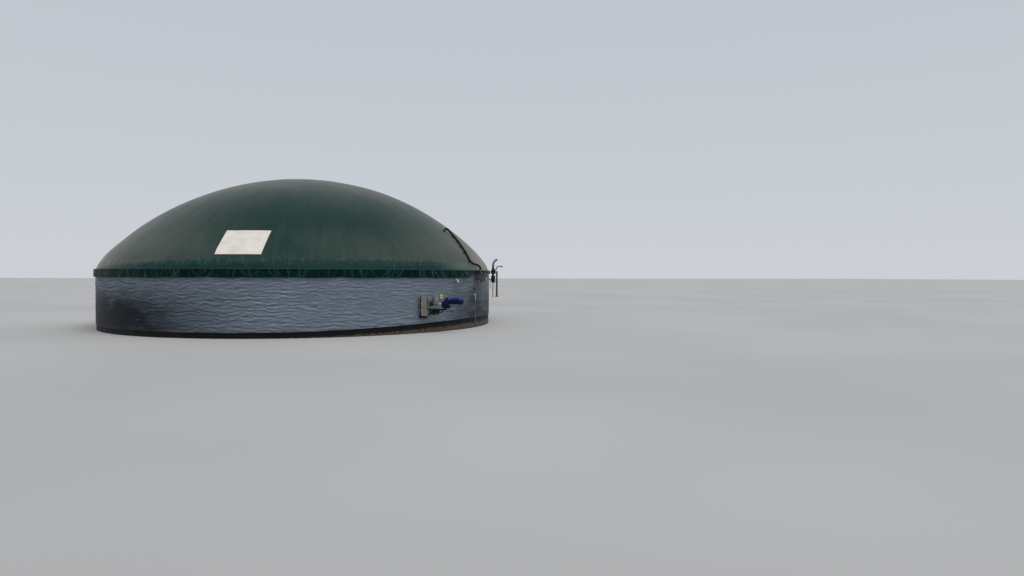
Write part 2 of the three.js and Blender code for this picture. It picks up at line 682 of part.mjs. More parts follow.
// The air hose and its inlet collar on the dome
function airHose(place, neckOut, neckTop) {
  const { azimuth, radius, collar, cuff, stub } = INLET;
  const seat = onDome(azimuth, radius, GAP);
  const normal = onDome(azimuth, radius, 1).sub(onDome(azimuth, radius)).normalize();
  const profile = [[0, 0], [collar, 0], [collar, 14], [cuff, 24], [HOSE_RADIUS, stub], [0, stub]];
  const stand = new THREE.Quaternion().setFromUnitVectors(vector(0, 0, 1), normal);
  const inlet = turned(profile).applyQuaternion(stand).translate(seat.x, seat.y, seat.z);
  const points = [
    seat.clone().addScaledVector(normal, stub + GAP),
    seat.clone().addScaledVector(normal, 2 * stub),
    onDome(55.85, 10925, 180),
    onDome(56.5, 10900, 205),
    onDome(57.3, 10900, 200),
    onDome(58.0, 10980, 170),
    onDome(58.1, 11200, 120),
    onDome(57.5, 11500, HOSE_REST),
    onDome(56.4, 11850, HOSE_REST),
    onDome(55.2, 12200, HOSE_REST),
    onDome(54.0, 12550, HOSE_REST),
    onDome(52.95, 12880, HOSE_REST),
    onDome(52.6, 13060, HOSE_REST + 5),
    onDome(53.4, 13150, HOSE_REST + 25),
    onDome(54.6, 13200, HOSE_REST + 55),
    place.localToWorld(vector(0, -70, neckTop + 320)),
    place.localToWorld(vector(0, -200, neckTop + 210)),
    place.localToWorld(vector(0, -neckOut, neckTop + 100)),
    place.localToWorld(vector(0, -neckOut, neckTop + GAP)),
  ];
  return [
    node('hose_inlet', 'rubber', inlet),
    node('air_hose', 'rubber', pipe(points, HOSE_RADIUS, HOSE_STEPS, 8)),
  ];
}

// The over- and under-pressure relief: seal pot, valve, vent and its gas and drain pipes
function relief() {
  const { azimuth, out, potHigh } = RELIEF;
  const downFlange = disc(DOWNPIPE.flange, DOWNPIPE.low - DOWNPIPE.flangeDepth, DOWNPIPE.low - GAP, 20);
  const stand = new THREE.Group();
  stand.position.set(0, -out, 0);
  stand.add(
    node('seal_pot', 'darkSteel', sealPot()),
    node('relief_valve', 'darkSteel', reliefValve()),
    node('vent_gooseneck', 'darkSteel', gooseneck(potHigh + VALVE_HEIGHT + 2 * GAP)),
    node('gas_downpipe', 'rust', gasDownpipe()),
    node('downpipe_flange', 'rust', downFlange.translate(0, -DOWNPIPE.out, 0)),
    node('crossover_stub', 'darkSteel', crossoverStub()),
    node('drain_pipe', 'pvcWhite', drainPipe()),
  );
  return [onCladding(azimuth, node('relief_bracket', 'galvanized', reliefBracket()), stand)];
}

// Points in the plane through the tank's axis and the stand, from [out, up] pairs
function outUp(list) {
  return list.map(([out, up]) => vector(0, -out, up));
}

function reliefBracket() {
  const { height, width, tall, plate, arm } = BRACKET;
  const reach = RELIEF.out - RELIEF.potRadius - 2 * GAP;
  return fuse(
    box(width, plate, tall, 0, -plate / 2, height),
    box(arm, reach, arm, 0, -reach / 2, height),
  );
}

function sealPot() {
  const { potLow, potHigh, potRadius, potFlange } = RELIEF;
  return turned([
    [0, potLow], [60, potLow + 8], [120, potLow + 50], [150, potLow + 110], [potRadius, potLow + 180],
    [potRadius, potHigh - 30], [potFlange, potHigh - 30], [potFlange, potHigh], [0, potHigh],
  ]);
}

function reliefValve() {
  const profile = [
    [0, 0], [110, 0], [110, 25], [85, 35], [85, 150], [120, 160], [172, 180], [172, 210],
    [152, 225], [152, 420], [172, 430], [172, 460], [110, 480], [95, VALVE_HEIGHT], [0, VALVE_HEIGHT],
  ];
  const ports = [GAS_PORT, AIR_PORT].map(({ radius, reach, up }) =>
    outward(upright(radius, reach)).translate(0, 0, RELIEF.potHigh + up));
  return fuse(turned(profile).translate(0, 0, RELIEF.potHigh + GAP), ...ports);
}

function gooseneck(foot) {
  const points = outUp([
    [0, foot], [0, foot + 180], [10, foot + 380], [80, foot + 560], [200, foot + 680], [320, foot + 730],
  ]);
  return pipe(points, VENT_RADIUS, 16);
}

// The gas pipe from the valve's side, round a short elbow and down
function gasDownpipe() {
  const { radius, out, low } = DOWNPIPE;
  const top = RELIEF.potHigh + GAS_PORT.up;
  const start = GAS_PORT.reach + GAP;
  return fuse(
    outward(upright(radius, out - start)).translate(0, -start, top),
    new THREE.SphereGeometry(radius, 20, 10).rotateX(Math.PI / 2).translate(0, -out, top),
    upright(radius, top - low).translate(0, -out, low),
  );
}

// The stub of the gas pipe that leads to the next tank, with its end flange
function crossoverStub() {
  const { radius, rise, reach, flange, flangeDepth } = CROSSOVER;
  const [low, high] = [RELIEF.potHigh + AIR_PORT.up, RELIEF.potHigh + rise];
  const points = outUp([
    [AIR_PORT.reach + GAP, low], [215, low], [258, low + 45], [275, low + 120],
    [305, high - 55], [350, high - 8], [430, high], [reach, high],
  ]);
  const end = outward(upright(flange, flangeDepth)).translate(0, flangeDepth - reach - 2, high);
  return fuse(pipe(points, radius, 16, 8), end);
}

function drainPipe() {
  const { radius, low, collar, collarDepth, collarAt, valveAt } = DRAIN;
  const { length, size } = DRAIN_VALVE;
  return fuse(
    upright(radius, RELIEF.potLow - low - GAP, 12).translate(0, 0, low),
    upright(collar, collarDepth, 12).translate(0, 0, collarAt),
    upright(collar, collarDepth, 12).translate(0, 0, low),
    box(length, size, size, length / 2 - 35, 0, valveAt),
  );
}

const digester = new THREE.Group();
digester.add(...tank(), ...roof(), ...mixer(), ...wallFittings(), ...blower(), ...relief());

export default digester;
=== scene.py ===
import json
import math

import bmesh
import bpy
import numpy as np
from mathutils import Matrix, Vector


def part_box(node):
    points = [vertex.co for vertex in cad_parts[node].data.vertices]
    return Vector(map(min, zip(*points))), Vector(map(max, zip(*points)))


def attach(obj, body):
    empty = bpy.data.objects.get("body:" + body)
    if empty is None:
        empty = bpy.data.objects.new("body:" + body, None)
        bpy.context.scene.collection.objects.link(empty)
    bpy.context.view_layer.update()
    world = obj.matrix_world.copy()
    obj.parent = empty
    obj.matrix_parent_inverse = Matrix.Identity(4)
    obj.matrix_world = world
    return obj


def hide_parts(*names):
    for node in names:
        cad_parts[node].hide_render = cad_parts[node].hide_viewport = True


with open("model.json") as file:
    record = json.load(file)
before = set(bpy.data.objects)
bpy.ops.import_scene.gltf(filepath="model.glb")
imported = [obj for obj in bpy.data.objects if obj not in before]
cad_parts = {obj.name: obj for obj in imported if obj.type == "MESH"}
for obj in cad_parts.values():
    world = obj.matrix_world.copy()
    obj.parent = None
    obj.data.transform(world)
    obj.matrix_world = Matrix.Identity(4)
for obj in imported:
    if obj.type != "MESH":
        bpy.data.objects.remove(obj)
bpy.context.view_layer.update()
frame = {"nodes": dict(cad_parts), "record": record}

# Sizes shared with the solids
GAP = 0.0003
FLAT_DEG = 5
SECTION_DEG = 60
SECTIONS = 360 // SECTION_DEG
CLAD_RADIUS = 13.4
WALL_RADIUS = 13.3
STRIP_RADIUS = 13.35
WALL_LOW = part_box("cladding_section_1")[0].z
WALL_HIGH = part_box("cladding_section_1")[1].z
CLADDING_SEAM = 53.8
RAIL_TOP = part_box("clamp_rail")[1].z
RAIL_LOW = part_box("clamp_rail")[0].z
RAIL_RADIUS = 13.475
SKIRT_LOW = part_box("edge_skirt")[0].z
DOME_RADIUS = 13.37
DOME_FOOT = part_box("outer_membrane")[0].z
FOOT_LEAN = math.radians(67)
CROWN_RADIUS = 17.4
KNUCKLE_RADIUS = 4.1
KNUCKLE_CENTRE = DOME_RADIUS - KNUCKLE_RADIUS * math.sin(FOOT_LEAN)
KNUCKLE_CENTRE_Z = DOME_FOOT - KNUCKLE_RADIUS * math.cos(FOOT_LEAN)
CROWN_DROP = math.sqrt((CROWN_RADIUS - KNUCKLE_RADIUS) ** 2 - KNUCKLE_CENTRE ** 2)
CROWN_CENTRE_Z = KNUCKLE_CENTRE_Z - CROWN_DROP
CROWN_ANGLE = math.atan2(KNUCKLE_CENTRE, CROWN_DROP)
KNUCKLE_ARC = KNUCKLE_RADIUS * (FOOT_LEAN - CROWN_ANGLE)
DOME_ARC = KNUCKLE_ARC + CROWN_RADIUS * CROWN_ANGLE
GORES = 36
HOSE_RADIUS = 0.07
INLET = {"azimuth": 55.5, "radius": 10.93, "stub": 0.06}
NECK = {"out": 0.245, "top": 3.8503}

# Azimuths of what stands on the wall
MIXER_AT = 29.4
BRACE_AT = 33.6
SWITCH_AT = 34.1
PORT_AT = 36.3
CLIP_AT = 41.0
OVERFLOW_AT = 42.5
PROBE_AT = 52.9
BLOWER_AT = 55.2
GAUGE_AT = 77.0
RELIEF_AT = 82.5

# The black coating shows below the cladding, most where the ground was higher, between these azimuths
COAT_LAP = 0.05
COAT_RISE = 0.37
COAT_RISES = (-12, 55)
COAT_FALLS = (85, 125)


# The camera

def make_camera():
    place = Vector((0, -52.638, 3.451))
    yaw, pitch, roll = -16.672, 90 - 0.996, 0.1265
    data = bpy.data.cameras.new("camera")
    data.lens = 24
    data.sensor_width = 36
    data.clip_end = 2000
    camera = bpy.data.objects.new("camera", data)
    camera.matrix_world = (Matrix.Translation(place) @ turned_by(yaw, "Z") @ turned_by(pitch, "X")
                           @ turned_by(roll, "Z"))
    bpy.context.scene.collection.objects.link(camera)
    bpy.context.scene.camera = camera


def turned_by(degrees, axis):
    return Matrix.Rotation(math.radians(degrees), 4, axis)


make_camera()


# Making materials

class Signal:
    """A number or colour that a material's nodes give; arithmetic with it adds nodes."""

    def __init__(self, paint, socket):
        self.paint = paint
        self.socket = socket

    def __add__(self, other):
        return self.paint.math("ADD", self, other)

    def __radd__(self, other):
        return self.paint.math("ADD", other, self)

    def __sub__(self, other):
        return self.paint.math("SUBTRACT", self, other)

    def __rsub__(self, other):
        return self.paint.math("SUBTRACT", other, self)

    def __mul__(self, other):
        return self.paint.math("MULTIPLY", self, other)

    def step(self, low, high, to_low=0.0, to_high=1.0):
        """A smooth step from low to high."""
        given = {"Value": self, "From Min": low, "From Max": high, "To Min": to_low, "To Max": to_high}
        return self.paint.node("ShaderNodeMapRange", 0, given, interpolation_type="SMOOTHSTEP")

    def mix(self, a, b):
        """Colour a where the value is 0, and b where it is 1."""
        return self.paint.node("ShaderNodeMix", 2, {"Factor": self, 6: a, 7: b}, data_type="RGBA")


class Paint:
    """A material, and short ways to put nodes in it. Places are in the tank's frame, in metres."""

    def __init__(self, name, roughness=0.6, metallic=0.0, **sockets):
        self.material = bpy.data.materials.new(name)
        self.material.use_nodes = True
        self.tree = self.material.node_tree
        self.shader = self.tree.nodes["Principled BSDF"]
        self.shader.inputs["Roughness"].default_value = roughness
        self.shader.inputs["Metallic"].default_value = metallic
        for socket, value in sockets.items():
            self.shader.inputs[socket.replace("_", " ")].default_value = value
        self.place = self.node("ShaderNodeTexCoord", "Object")

    def put(self, socket, value):
        """Links a signal to a socket, or sets the socket's own value."""
        if isinstance(value, Signal):
            self.tree.links.new(value.socket, socket)
        elif hasattr(value, "__len__") and socket.type == "RGBA":
            socket.default_value = (*value, 1)
        else:
            socket.default_value = value

    def node(self, kind, output, given=(), **settings):
        """Adds a node with these inputs and settings, and returns one of its outputs."""
        made = self.tree.nodes.new(kind)
        for key, value in settings.items():
            setattr(made, key, value)
        for key, value in dict(given).items():
            self.put(made.inputs[key], value)
        return Signal(self, made.outputs[output])

    def math(self, operation, a, b=0.0, clamp=False):
        return self.node("ShaderNodeMath", 0, {0: a, 1: b}, operation=operation, use_clamp=clamp)

    def larger(self, a, b):
        return self.math("MAXIMUM", a, b)

    def vector_math(self, operation, a, b):
        return self.node("ShaderNodeVectorMath", 0, {0: a, 1: b}, operation=operation)

    def split(self, vector):
        outputs = self.node("ShaderNodeSeparateXYZ", 0, {0: vector}).socket.node.outputs
        return [Signal(self, socket) for socket in outputs]

    def join(self, x, y, z):
        return self.node("ShaderNodeCombineXYZ", 0, {0: x, 1: y, 2: z})

    def noise(self, scale, detail=3.0, roughness=0.55, stretch=(1, 1, 1), place=None):
        """Cloudy noise from 0 to 1, of about scale cells in a metre; stretch makes it finer along an axis."""
        vector = self.vector_math("MULTIPLY", place or self.place, stretch)
        given = {"Vector": vector, "Scale": scale, "Detail": detail, "Roughness": roughness}
        return self.node("ShaderNodeTexNoise", "Fac", given)

    def line_noise(self, scale, value, detail):
        """Noise along one value."""
        return self.noise(scale, detail, place=self.join(value, 0, 0))

    def round_noise(self, per_turn, tall, detail=3.0):
        """Noise round the tank's axis: upright streaks when tall, a share of the width, is small."""
        x, y, z = self.split(self.place)
        around = self.vector_math("NORMALIZE", self.join(x, y, 0), (0, 0, 0))
        place = self.vector_math("ADD", around, self.join(0, 0, z * tall))
        return self.noise(per_turn, detail, 0.6, place=place)

    def blotch(self, colour, tint, amount, low, high, *noise, **more):
        """The colour with a tint over it, where a noise passes from low to high."""
        return self.noise(*noise, **more).step(low, high, 0, amount).mix(colour, tint)

    def height(self):
        return self.split(self.place)[2]

    def azimuth(self):
        """The angle round the tank's axis, in degrees."""
        x, y, _ = self.split(self.place)
        return self.math("ARCTAN2", x, y * -1) * (180 / math.pi)

    def sector(self, start, full, last, end, to_low=0.0, to_high=1.0):
        """A value that rises between azimuths start and full, and falls between last and end."""
        turn = self.azimuth()
        return to_low + turn.step(start, full) * turn.step(end, last) * (to_high - to_low)

    def upward(self):
        """How far a surface faces up, from -1 to 1."""
        return self.split(self.node("ShaderNodeNewGeometry", "Normal"))[2]

    def dusted(self, colour, amount):
        return self.upward().step(0.35, 0.95, 0, amount).mix(colour, DUST)

    def done(self, colour, height, depth, strength, roughness=None):
        """Puts the finish on the shader, with bumps of this depth, and returns the material."""
        self.put(self.shader.inputs["Base Color"], colour)
        if roughness is not None:
            self.put(self.shader.inputs["Roughness"], roughness)
        given = {"Height": height, "Distance": depth, "Strength": strength}
        self.put(self.shader.inputs["Normal"], self.node("ShaderNodeBump", 0, given))
        return self.material


DUST = (0.17, 0.155, 0.13)


def weathered(name, base, dirt, amount, dust, scale=3.0, grain=60.0, depth=0.001, **sockets):
    """A plain finish with dirt in clouds and runs, dust on what faces up, and a fine grain."""
    paint = Paint(name, **sockets)
    clouds = paint.noise(scale, 5, 0.65).step(0.42, 0.72, 0, amount)
    runs = paint.noise(14, 4, stretch=(1, 1, 0.08)).step(0.52, 0.8, 0, amount)
    soiled = paint.larger(clouds, runs).mix(base, dirt)
    toned = paint.blotch(soiled, tuple(c * 0.5 for c in base), 0.25, 0.3, 0.7, grain / 6, 2)
    clean = paint.shader.inputs["Roughness"].default_value
    roughness = clouds.step(0, amount, clean, min(0.95, clean + 0.25))
    return paint.done(paint.dusted(toned, dust), paint.noise(grain), depth, 0.6, roughness)


# Materials

# The band that rain has washed: its top, and the azimuths between which it ends beside the air hose
BAND_TOP = 4.37
UNWASHED_FROM = 51.6
UNWASHED_FULL = UNWASHED_FROM + 1.5


def membrane_paint():
    """Coated membrane: a thin film of dust, heavier low on the dome, washed off in a band above the rim; on
    the top and the sides the pale film is partly painted sheen and reflection.
    """
    paint = Paint("membrane", roughness=0.5, Sheen_Weight=0.57, Sheen_Roughness=0.34,
                  Specular_IOR_Level=0.12)
    paint.shader.inputs["Sheen Tint"].default_value = (0.8, 0.77, 0.7, 1)
    z = paint.height()
    turn = paint.azimuth()

    # Dust gathers low on the dome and on its lee; the pale film on its flat top and on its sides is partly
    # dust and partly painted sheen and reflection
    low = z.step(7.3, 4.5) * paint.noise(0.11, 3, 0.5).step(0.35, 0.65, 0.065, 0.14)
    # The top's pale film: dust and painted reflection
    dust = low + z.step(7.4, 9.9, 0, 0.17) + paint.noise(0.4, 5, 0.6).step(0.35, 0.7, -0.02, 0.03)
    dust = dust + paint.round_noise(34, 0.012).step(0.35, 0.75, -0.02, 0.03)
    dust = dust + paint.noise(2.6, 5, 0.6).step(0.35, 0.7, -0.015, 0.015)
    # The sides' pale film, either side of the front: dust and painted sheen
    dust = dust + paint.math("ABSOLUTE", turn).step(12, 48, 0, 0.145) * z.step(9.0, 5.5)
    dust = dust + paint.sector(48, 66, 84, 110, 0, 0.3) * z.step(8.0, 4.4)

    # The washed band, which is ragged at its top and ends beside the air hose
    ticks = paint.round_noise(150, 0.004, 2)
    rags = paint.round_noise(40, 0.1, 4)
    edge = rags.step(0.3, 0.7, BAND_TOP - 0.1, BAND_TOP) + ticks.step(0.54, 0.76, 0, 0.26)
    edge = edge + paint.sector(-150, -110, -62, -22, 0, -0.28)
    above = (z - edge).step(-0.06, 0.06)
    unwashed = paint.sector(UNWASHED_FROM, UNWASHED_FULL, 88, 96)
    dust = paint.larger(dust, 0) * paint.larger(above, unwashed) + unwashed * z.step(5.4, 4.2, 0, 0.2)
    film = paint.sector(33, 50, UNWASHED_FROM, UNWASHED_FULL, 0, 0.5) * (1 - above)

    # Pale pleat marks in the band, which lean one way here and the other way there
    ragged = z + rags.step(0.3, 0.7, -0.12, 0.14)
    lean = paint.line_noise(0.45, turn, 2).step(0.35, 0.65, -7, 7)
    marks = paint.line_noise(1, turn * 2.2 + lean * (z - 4.25), 3).step(0.44, 0.66)
    pleats = marks * (ragged.step(4.0, 4.2) * ragged.step(4.54, 4.32))
    share = paint.sector(-150, -110, -20, 4, 0.2, 0.6) + paint.sector(15, 25, 51, 53, 0, 0.25)

    # Gores are welded along the meridians
    weld = paint.math("PINGPONG", turn * (GORES / 360), 0.5).step(0.0, 0.01, 1, 0)

    colour = dust.mix((0.002, 0.028, 0.023), (0.2, 0.19, 0.155))
    colour = film.mix(colour, (0.16, 0.172, 0.158))
    colour = (pleats * share).mix(colour, (0.075, 0.12, 0.115))
    colour = (weld * 0.3).mix(colour, (0.0015, 0.02, 0.017))
    return paint.done(colour, paint.noise(9, 4) + weld * 0.4, 0.004, 0.4, dust.step(0, 0.4, 0.58, 0.68))


def cladding_paint():
    """Sprayed coating: painted light where it faces up and painted shade below laps, partly dust and grime;
    painted shade and damp low at the left; painted shade at the right.
    """
    paint = Paint("cladding", roughness=0.5, Specular_IOR_Level=0.12)
    z = paint.height()
    patches = paint.noise(0.7, 5, 0.6, (1, 1, 3.2))
    specks = paint.noise(14, 4, 0.7)
    passes = paint.noise(2.6, 3, 0.5, (1, 1, 4.5))
    # Painted light where the laps face up and painted shade where they face down, partly dust and grime
    colour = paint.upward().step(-0.2, 0.26).mix((0.075, 0.102, 0.132), (0.24, 0.28, 0.325))
    colour = patches.step(0.35, 0.68, 0, 0.4).mix(colour, (0.11, 0.138, 0.168))
    colour = passes.step(0.5, 0.74, 0, 0.35).mix(colour, (0.26, 0.3, 0.345))
    colour = specks.step(0.55, 0.75, 0, 0.4).mix(colour, (0.06, 0.077, 0.095))

    # Runs below the skirt
    runs = paint.round_noise(60, 0.02)
    stain = (z - runs.step(0.45, 0.8, 3.35, 2.5)).step(0, 0.5) * runs.step(0.5, 0.75, 0, 0.4)
    colour = stain.mix(colour, (0.04, 0.05, 0.058))

    # Painted shade and damp low at the left, painted shade and blower grime at the right, soil at the foot
    low_darkening = z.step(3.5, 1.2, 0.1, 1.1) + patches.step(0.3, 0.7, -0.12, 0.12)
    shade_and_damp = paint.math("MULTIPLY", paint.sector(-130, -80, -53, -5), low_darkening, clamp=True)
    colour = shade_and_damp.mix(colour, (0.004, 0.007, 0.012))
    shade = z.step(3.3, 1.2, 0.25, 0.85) + patches.step(0.3, 0.7, -0.18, 0.18)
    colour = (paint.sector(32, 52, 95, 130) * shade).mix(colour, (0.018, 0.022, 0.027))
    grime = paint.noise(5, 5, 0.65, (1, 1, 0.45)).step(0.3, 0.66, 0.1, 0.95) * z.step(2.0, 3.2)
    colour = (paint.sector(51.5, 54.5, 58, 64) * grime).mix(colour, (0.014, 0.015, 0.016))
    soil = z + patches.step(0.3, 0.7, -0.15, 0.15)
    colour = soil.step(0.62, 0.25, 0, 0.4).mix(colour, (0.05, 0.045, 0.038))
    return paint.done(colour, paint.noise(22, 5, 0.65) + passes, 0.008, 0.6,
                      specks.step(0.3, 0.75, 0.42, 0.68))


def skirt_paint():
    """Clean membrane, dark and a little glossy, with pale creases: painted highlights on their ridges, partly
    wear.
    """
    paint = Paint("skirt", roughness=0.45, Specular_IOR_Level=0.05)
    colour = paint.blotch((0.0003, 0.009, 0.0085), (0.0008, 0.018, 0.017), 1, 0.35, 0.7, 1.8, 5, 0.6)
    colour = paint.blotch(colour, (0.006, 0.035, 0.033), 0.4, 0.58, 0.78, 9, 5, 0.7)
    # Pale ridges: painted highlight, partly wear
    ridges = paint.node("ShaderNodeAttribute", "Fac", attribute_name="wear_and_highlight")
    return paint.done(ridges.mix(colour, (0.038, 0.085, 0.08)), paint.noise(34, 4), 0.002, 0.5)


def rust_paint():
    paint = Paint("rusty_pipe", roughness=0.8)
    colour = paint.blotch((0.045, 0.032, 0.027), (0.15, 0.1, 0.078), 1, 0.35, 0.6, 6, 6, 0.7)
    colour = paint.blotch(colour, (0.27, 0.23, 0.21), 0.7, 0.5, 0.7, 17, 4)
    return paint.done(colour, paint.noise(90, 5, 0.7), 0.002, 0.7)


def bitumen_paint():
    """Black coating of the wall's foot, splashed with soil up to a line that follows the cladding's edge."""
    paint = Paint("bitumen", roughness=0.6, Specular_IOR_Level=0.15)
    colour = paint.blotch((0.003, 0.0032, 0.004), (0.012, 0.011, 0.009), 0.6, 0.4, 0.7, 2.2, 5, 0.65)
    line = paint.sector(*COAT_RISES, *COAT_FALLS, 0, COAT_RISE)
    line = line + paint.noise(5, 6, 0.7).step(0.3, 0.7, 0.0, 0.12)
    soiled = paint.height().step(line, line - 0.16, 0, 0.85)
    soil = paint.blotch((0.06, 0.046, 0.034), (0.13, 0.105, 0.08), 1, 0.35, 0.65, 12, 5)
    return paint.done(soiled.mix(colour, soil), paint.noise(25, 5) + soiled, 0.006, 0.6)


def dark_steel_paint():
    """Dark grey paint over steel, gone chalky pale high up at the relief valve."""
    paint = Paint("dark_paint", roughness=0.5, Specular_IOR_Level=0.2)
    clouds = paint.noise(3, 5, 0.65).step(0.42, 0.72, 0, 0.45)
    colour = clouds.mix((0.01, 0.01, 0.011), (0.06, 0.048, 0.038))
    colour = paint.blotch(colour, (0.085, 0.045, 0.025), 0.6, 0.6, 0.68, 22, 4, 0.7)
    chalk = paint.height().step(4.05, 4.35) * paint.noise(9, 5, 0.65).step(0.32, 0.6, 0.35, 1)
    colour = paint.dusted(chalk.mix(colour, (0.25, 0.255, 0.31)), 0.35)
    return paint.done(colour, paint.noise(60), 0.001, 0.6, clouds.step(0, 0.45, 0.45, 0.75))


def blue_machine_paint():
    """Deep blue enamel: a painted highlight on top, painted shade below, and greasy patches."""
    paint = Paint("blue_paint", roughness=0.3, Specular_IOR_Level=0.15)
    # Painted highlight on what faces up, painted shade on what faces down
    colour = paint.upward().step(-0.1, 0.95).mix((0.0003, 0.0035, 0.022), (0.004, 0.06, 0.27))
    grease = paint.noise(6, 5, 0.65).step(0.45, 0.7, 0, 0.6)
    colour = grease.mix(colour, (0.002, 0.004, 0.012))
    colour = paint.blotch(colour, (0.11, 0.11, 0.11), 0.7, 0.66, 0.7, 30, 3, 0.6)
    return paint.done(colour, paint.noise(45), 0.0008, 0.5, grease.step(0, 0.6, 0.28, 0.6))


def galvanized_paint():
    """Zinc with its spangle, patches of white rust and dirt."""
    paint = Paint("galvanized", roughness=0.5, metallic=0.4)
    given = {"Vector": paint.place, "Scale": 38}
    shade = paint.split(paint.node("ShaderNodeTexVoronoi", "Color", given, feature="F1"))[0]
    colour = shade.step(0.1, 0.9).mix((0.055, 0.062, 0.07), (0.1, 0.109, 0.12))
    white_rust = paint.noise(5, 5, stretch=(1, 1, 0.4)).step(0.5, 0.75, 0, 0.45)
    colour = white_rust.mix(colour, (0.2, 0.205, 0.2))
    colour = paint.blotch(colour, (0.045, 0.036, 0.03), 0.7, 0.5, 0.75, 2, 5)
    return paint.done(colour, paint.noise(70), 0.0006, 0.5, white_rust.step(0, 0.45, 0.38, 0.65))


def concrete_paint():
    paint = Paint("concrete", roughness=0.9)
    colour = paint.blotch((0.36, 0.35, 0.32), (0.5, 0.49, 0.46), 1, 0.3, 0.7, 1.5, 6, 0.65)
    colour = paint.blotch(colour, (0.25, 0.24, 0.22), 0.5, 0.5, 0.7, 30, 4)
    return paint.done(colour, paint.noise(40, 6, 0.7), 0.003, 0.8)


MATERIALS = {
    "concrete": concrete_paint(),
    "bitumen": bitumen_paint(),
    "cladding": cladding_paint(),
    "galvanized": galvanized_paint(),
    "membrane": membrane_paint(),
    "skirt": skirt_paint(),
    "dark_paint": dark_steel_paint(),
    "blue_paint": blue_machine_paint(),
    "rusty_pipe": rust_paint(),
}

# Plain finishes: colour, colour of the dirt, how much of it, dust, roughness, and what else differs
PLAIN_FINISHES = {
    "sign_white": ((0.82, 0.75, 0.68), (0.6, 0.53, 0.46), 0.25, 0.1, 0.5,
                   {"scale": 1.4, "grain": 12, "depth": 0.002}),
    "hose_rubber": ((0.003, 0.0032, 0.0035), (0.014, 0.013, 0.012), 0.35, 0.1, 0.5,
                    {"Specular_IOR_Level": 0.2}),
    "grey_paint": ((0.2, 0.192, 0.165), (0.09, 0.075, 0.06), 0.45, 0.3, 0.55, {"Specular_IOR_Level": 0.3}),
    "stainless": ((0.6, 0.6, 0.59), (0.3, 0.27, 0.24), 0.3, 0.15, 0.25, {"metallic": 0.95}),
    "yellow_paint": ((0.68, 0.6, 0.1), (0.25, 0.19, 0.06), 0.3, 0.2, 0.4, {}),
    "port_glass": ((0.012, 0.015, 0.02), (0.05, 0.05, 0.05), 0.3, 0.1, 0.12, {}),
    "box_plastic": ((0.22, 0.21, 0.245), (0.13, 0.115, 0.11), 0.4, 0.3, 0.5, {}),
    "white_pipe": ((0.66, 0.6, 0.57), (0.3, 0.22, 0.17), 0.5, 0.15, 0.45, {}),
}
for plain, (base, dirt, amount, dust, roughness, more) in PLAIN_FINISHES.items():
    MATERIALS[plain] = weathered(plain, base, dirt, amount, dust, roughness=roughness, **more)


def finish_solids():
    """Gives every solid its finish and smooth round sides, and the boxy ones slightly broken edges."""
    slot_of = {part["node"]: part["material_slot"] for part in frame["record"]["subparts"]}
    boxy = ("mixer_box", "mixer_box_cover", "mixer_flange", "gearbox", "terminal_box", "support_arm",
            "switch_box", "blower_console", "relief_bracket", "joint_cover")
    for name, solid in frame["nodes"].items():
        mesh = solid.data
        mesh.materials.clear()
        mesh.materials.append(MATERIALS[slot_of[name]])
        if "custom_normal" in mesh.attributes:
            mesh.attributes.remove(mesh.attributes["custom_normal"])
        mesh.polygons.foreach_set("use_smooth", [True] * len(mesh.polygons))
        solid.modifiers.new("weld", "WELD").merge_threshold = 0.0001
        if name in boxy:
            bevel = solid.modifiers.new("bevel", "BEVEL")
            bevel.width = 0.006
            bevel.segments = 2
            bevel.angle_limit = math.radians(40)
        solid.modifiers.new("edges", "EDGE_SPLIT").split_angle = math.radians(35)


finish_solids()


# Making meshes

def add_piece(name, points, faces, slot, *replaced, sharp=None, wear_and_highlight=None):
    """A smooth mesh that rides on the tank; edges over sharp degrees stay crisp; wear_and_highlight is a
    share a point, of wear and painted highlight.
    """
    mesh = bpy.data.meshes.new(name)
    mesh.from_pydata([tuple(p) for p in points], [], [tuple(f) for f in faces])
    mesh.polygons.foreach_set("use_smooth", [True] * len(mesh.polygons))
    mesh.materials.append(MATERIALS[slot])
    mesh.validate()
    if wear_and_highlight is not None:
        mesh.attributes.new("wear_and_highlight", "FLOAT", "POINT").data.foreach_set("value", wear_and_highlight.ravel())
    if sharp:
        turned_out = bmesh.new()
        turned_out.from_mesh(mesh)
        bmesh.ops.recalc_face_normals(turned_out, faces=turned_out.faces)
        turned_out.to_mesh(mesh)
        turned_out.free()
        mesh.set_sharp_from_angle(angle=math.radians(sharp))
    piece = bpy.data.objects.new(name, mesh)
    bpy.context.scene.collection.objects.link(piece)
    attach(piece, "root")
    if replaced:
        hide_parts(*replaced)
    return piece


def grid_faces(rows, columns, loop_rows=False, loop_columns=False):
    """Quads of a grid of points numbered row by row."""
    i, j = np.meshgrid(np.arange(rows if loop_rows else rows - 1),
                       np.arange(columns if loop_columns else columns - 1), indexing="ij")
    i2, j2 = (i + 1) % rows, (j + 1) % columns
    corners = [i * columns + j, i * columns + j2, i2 * columns + j2, i2 * columns + j]
    return np.stack(corners, axis=-1).reshape(-1, 4)


def round_place(azimuth, radius, z):
    """Points from azimuths in degrees, radii and heights, as arrays of one shape."""
    turn = np.radians(azimuth)
    return np.stack(np.broadcast_arrays(radius * np.sin(turn), -radius * np.cos(turn), z), axis=-1)


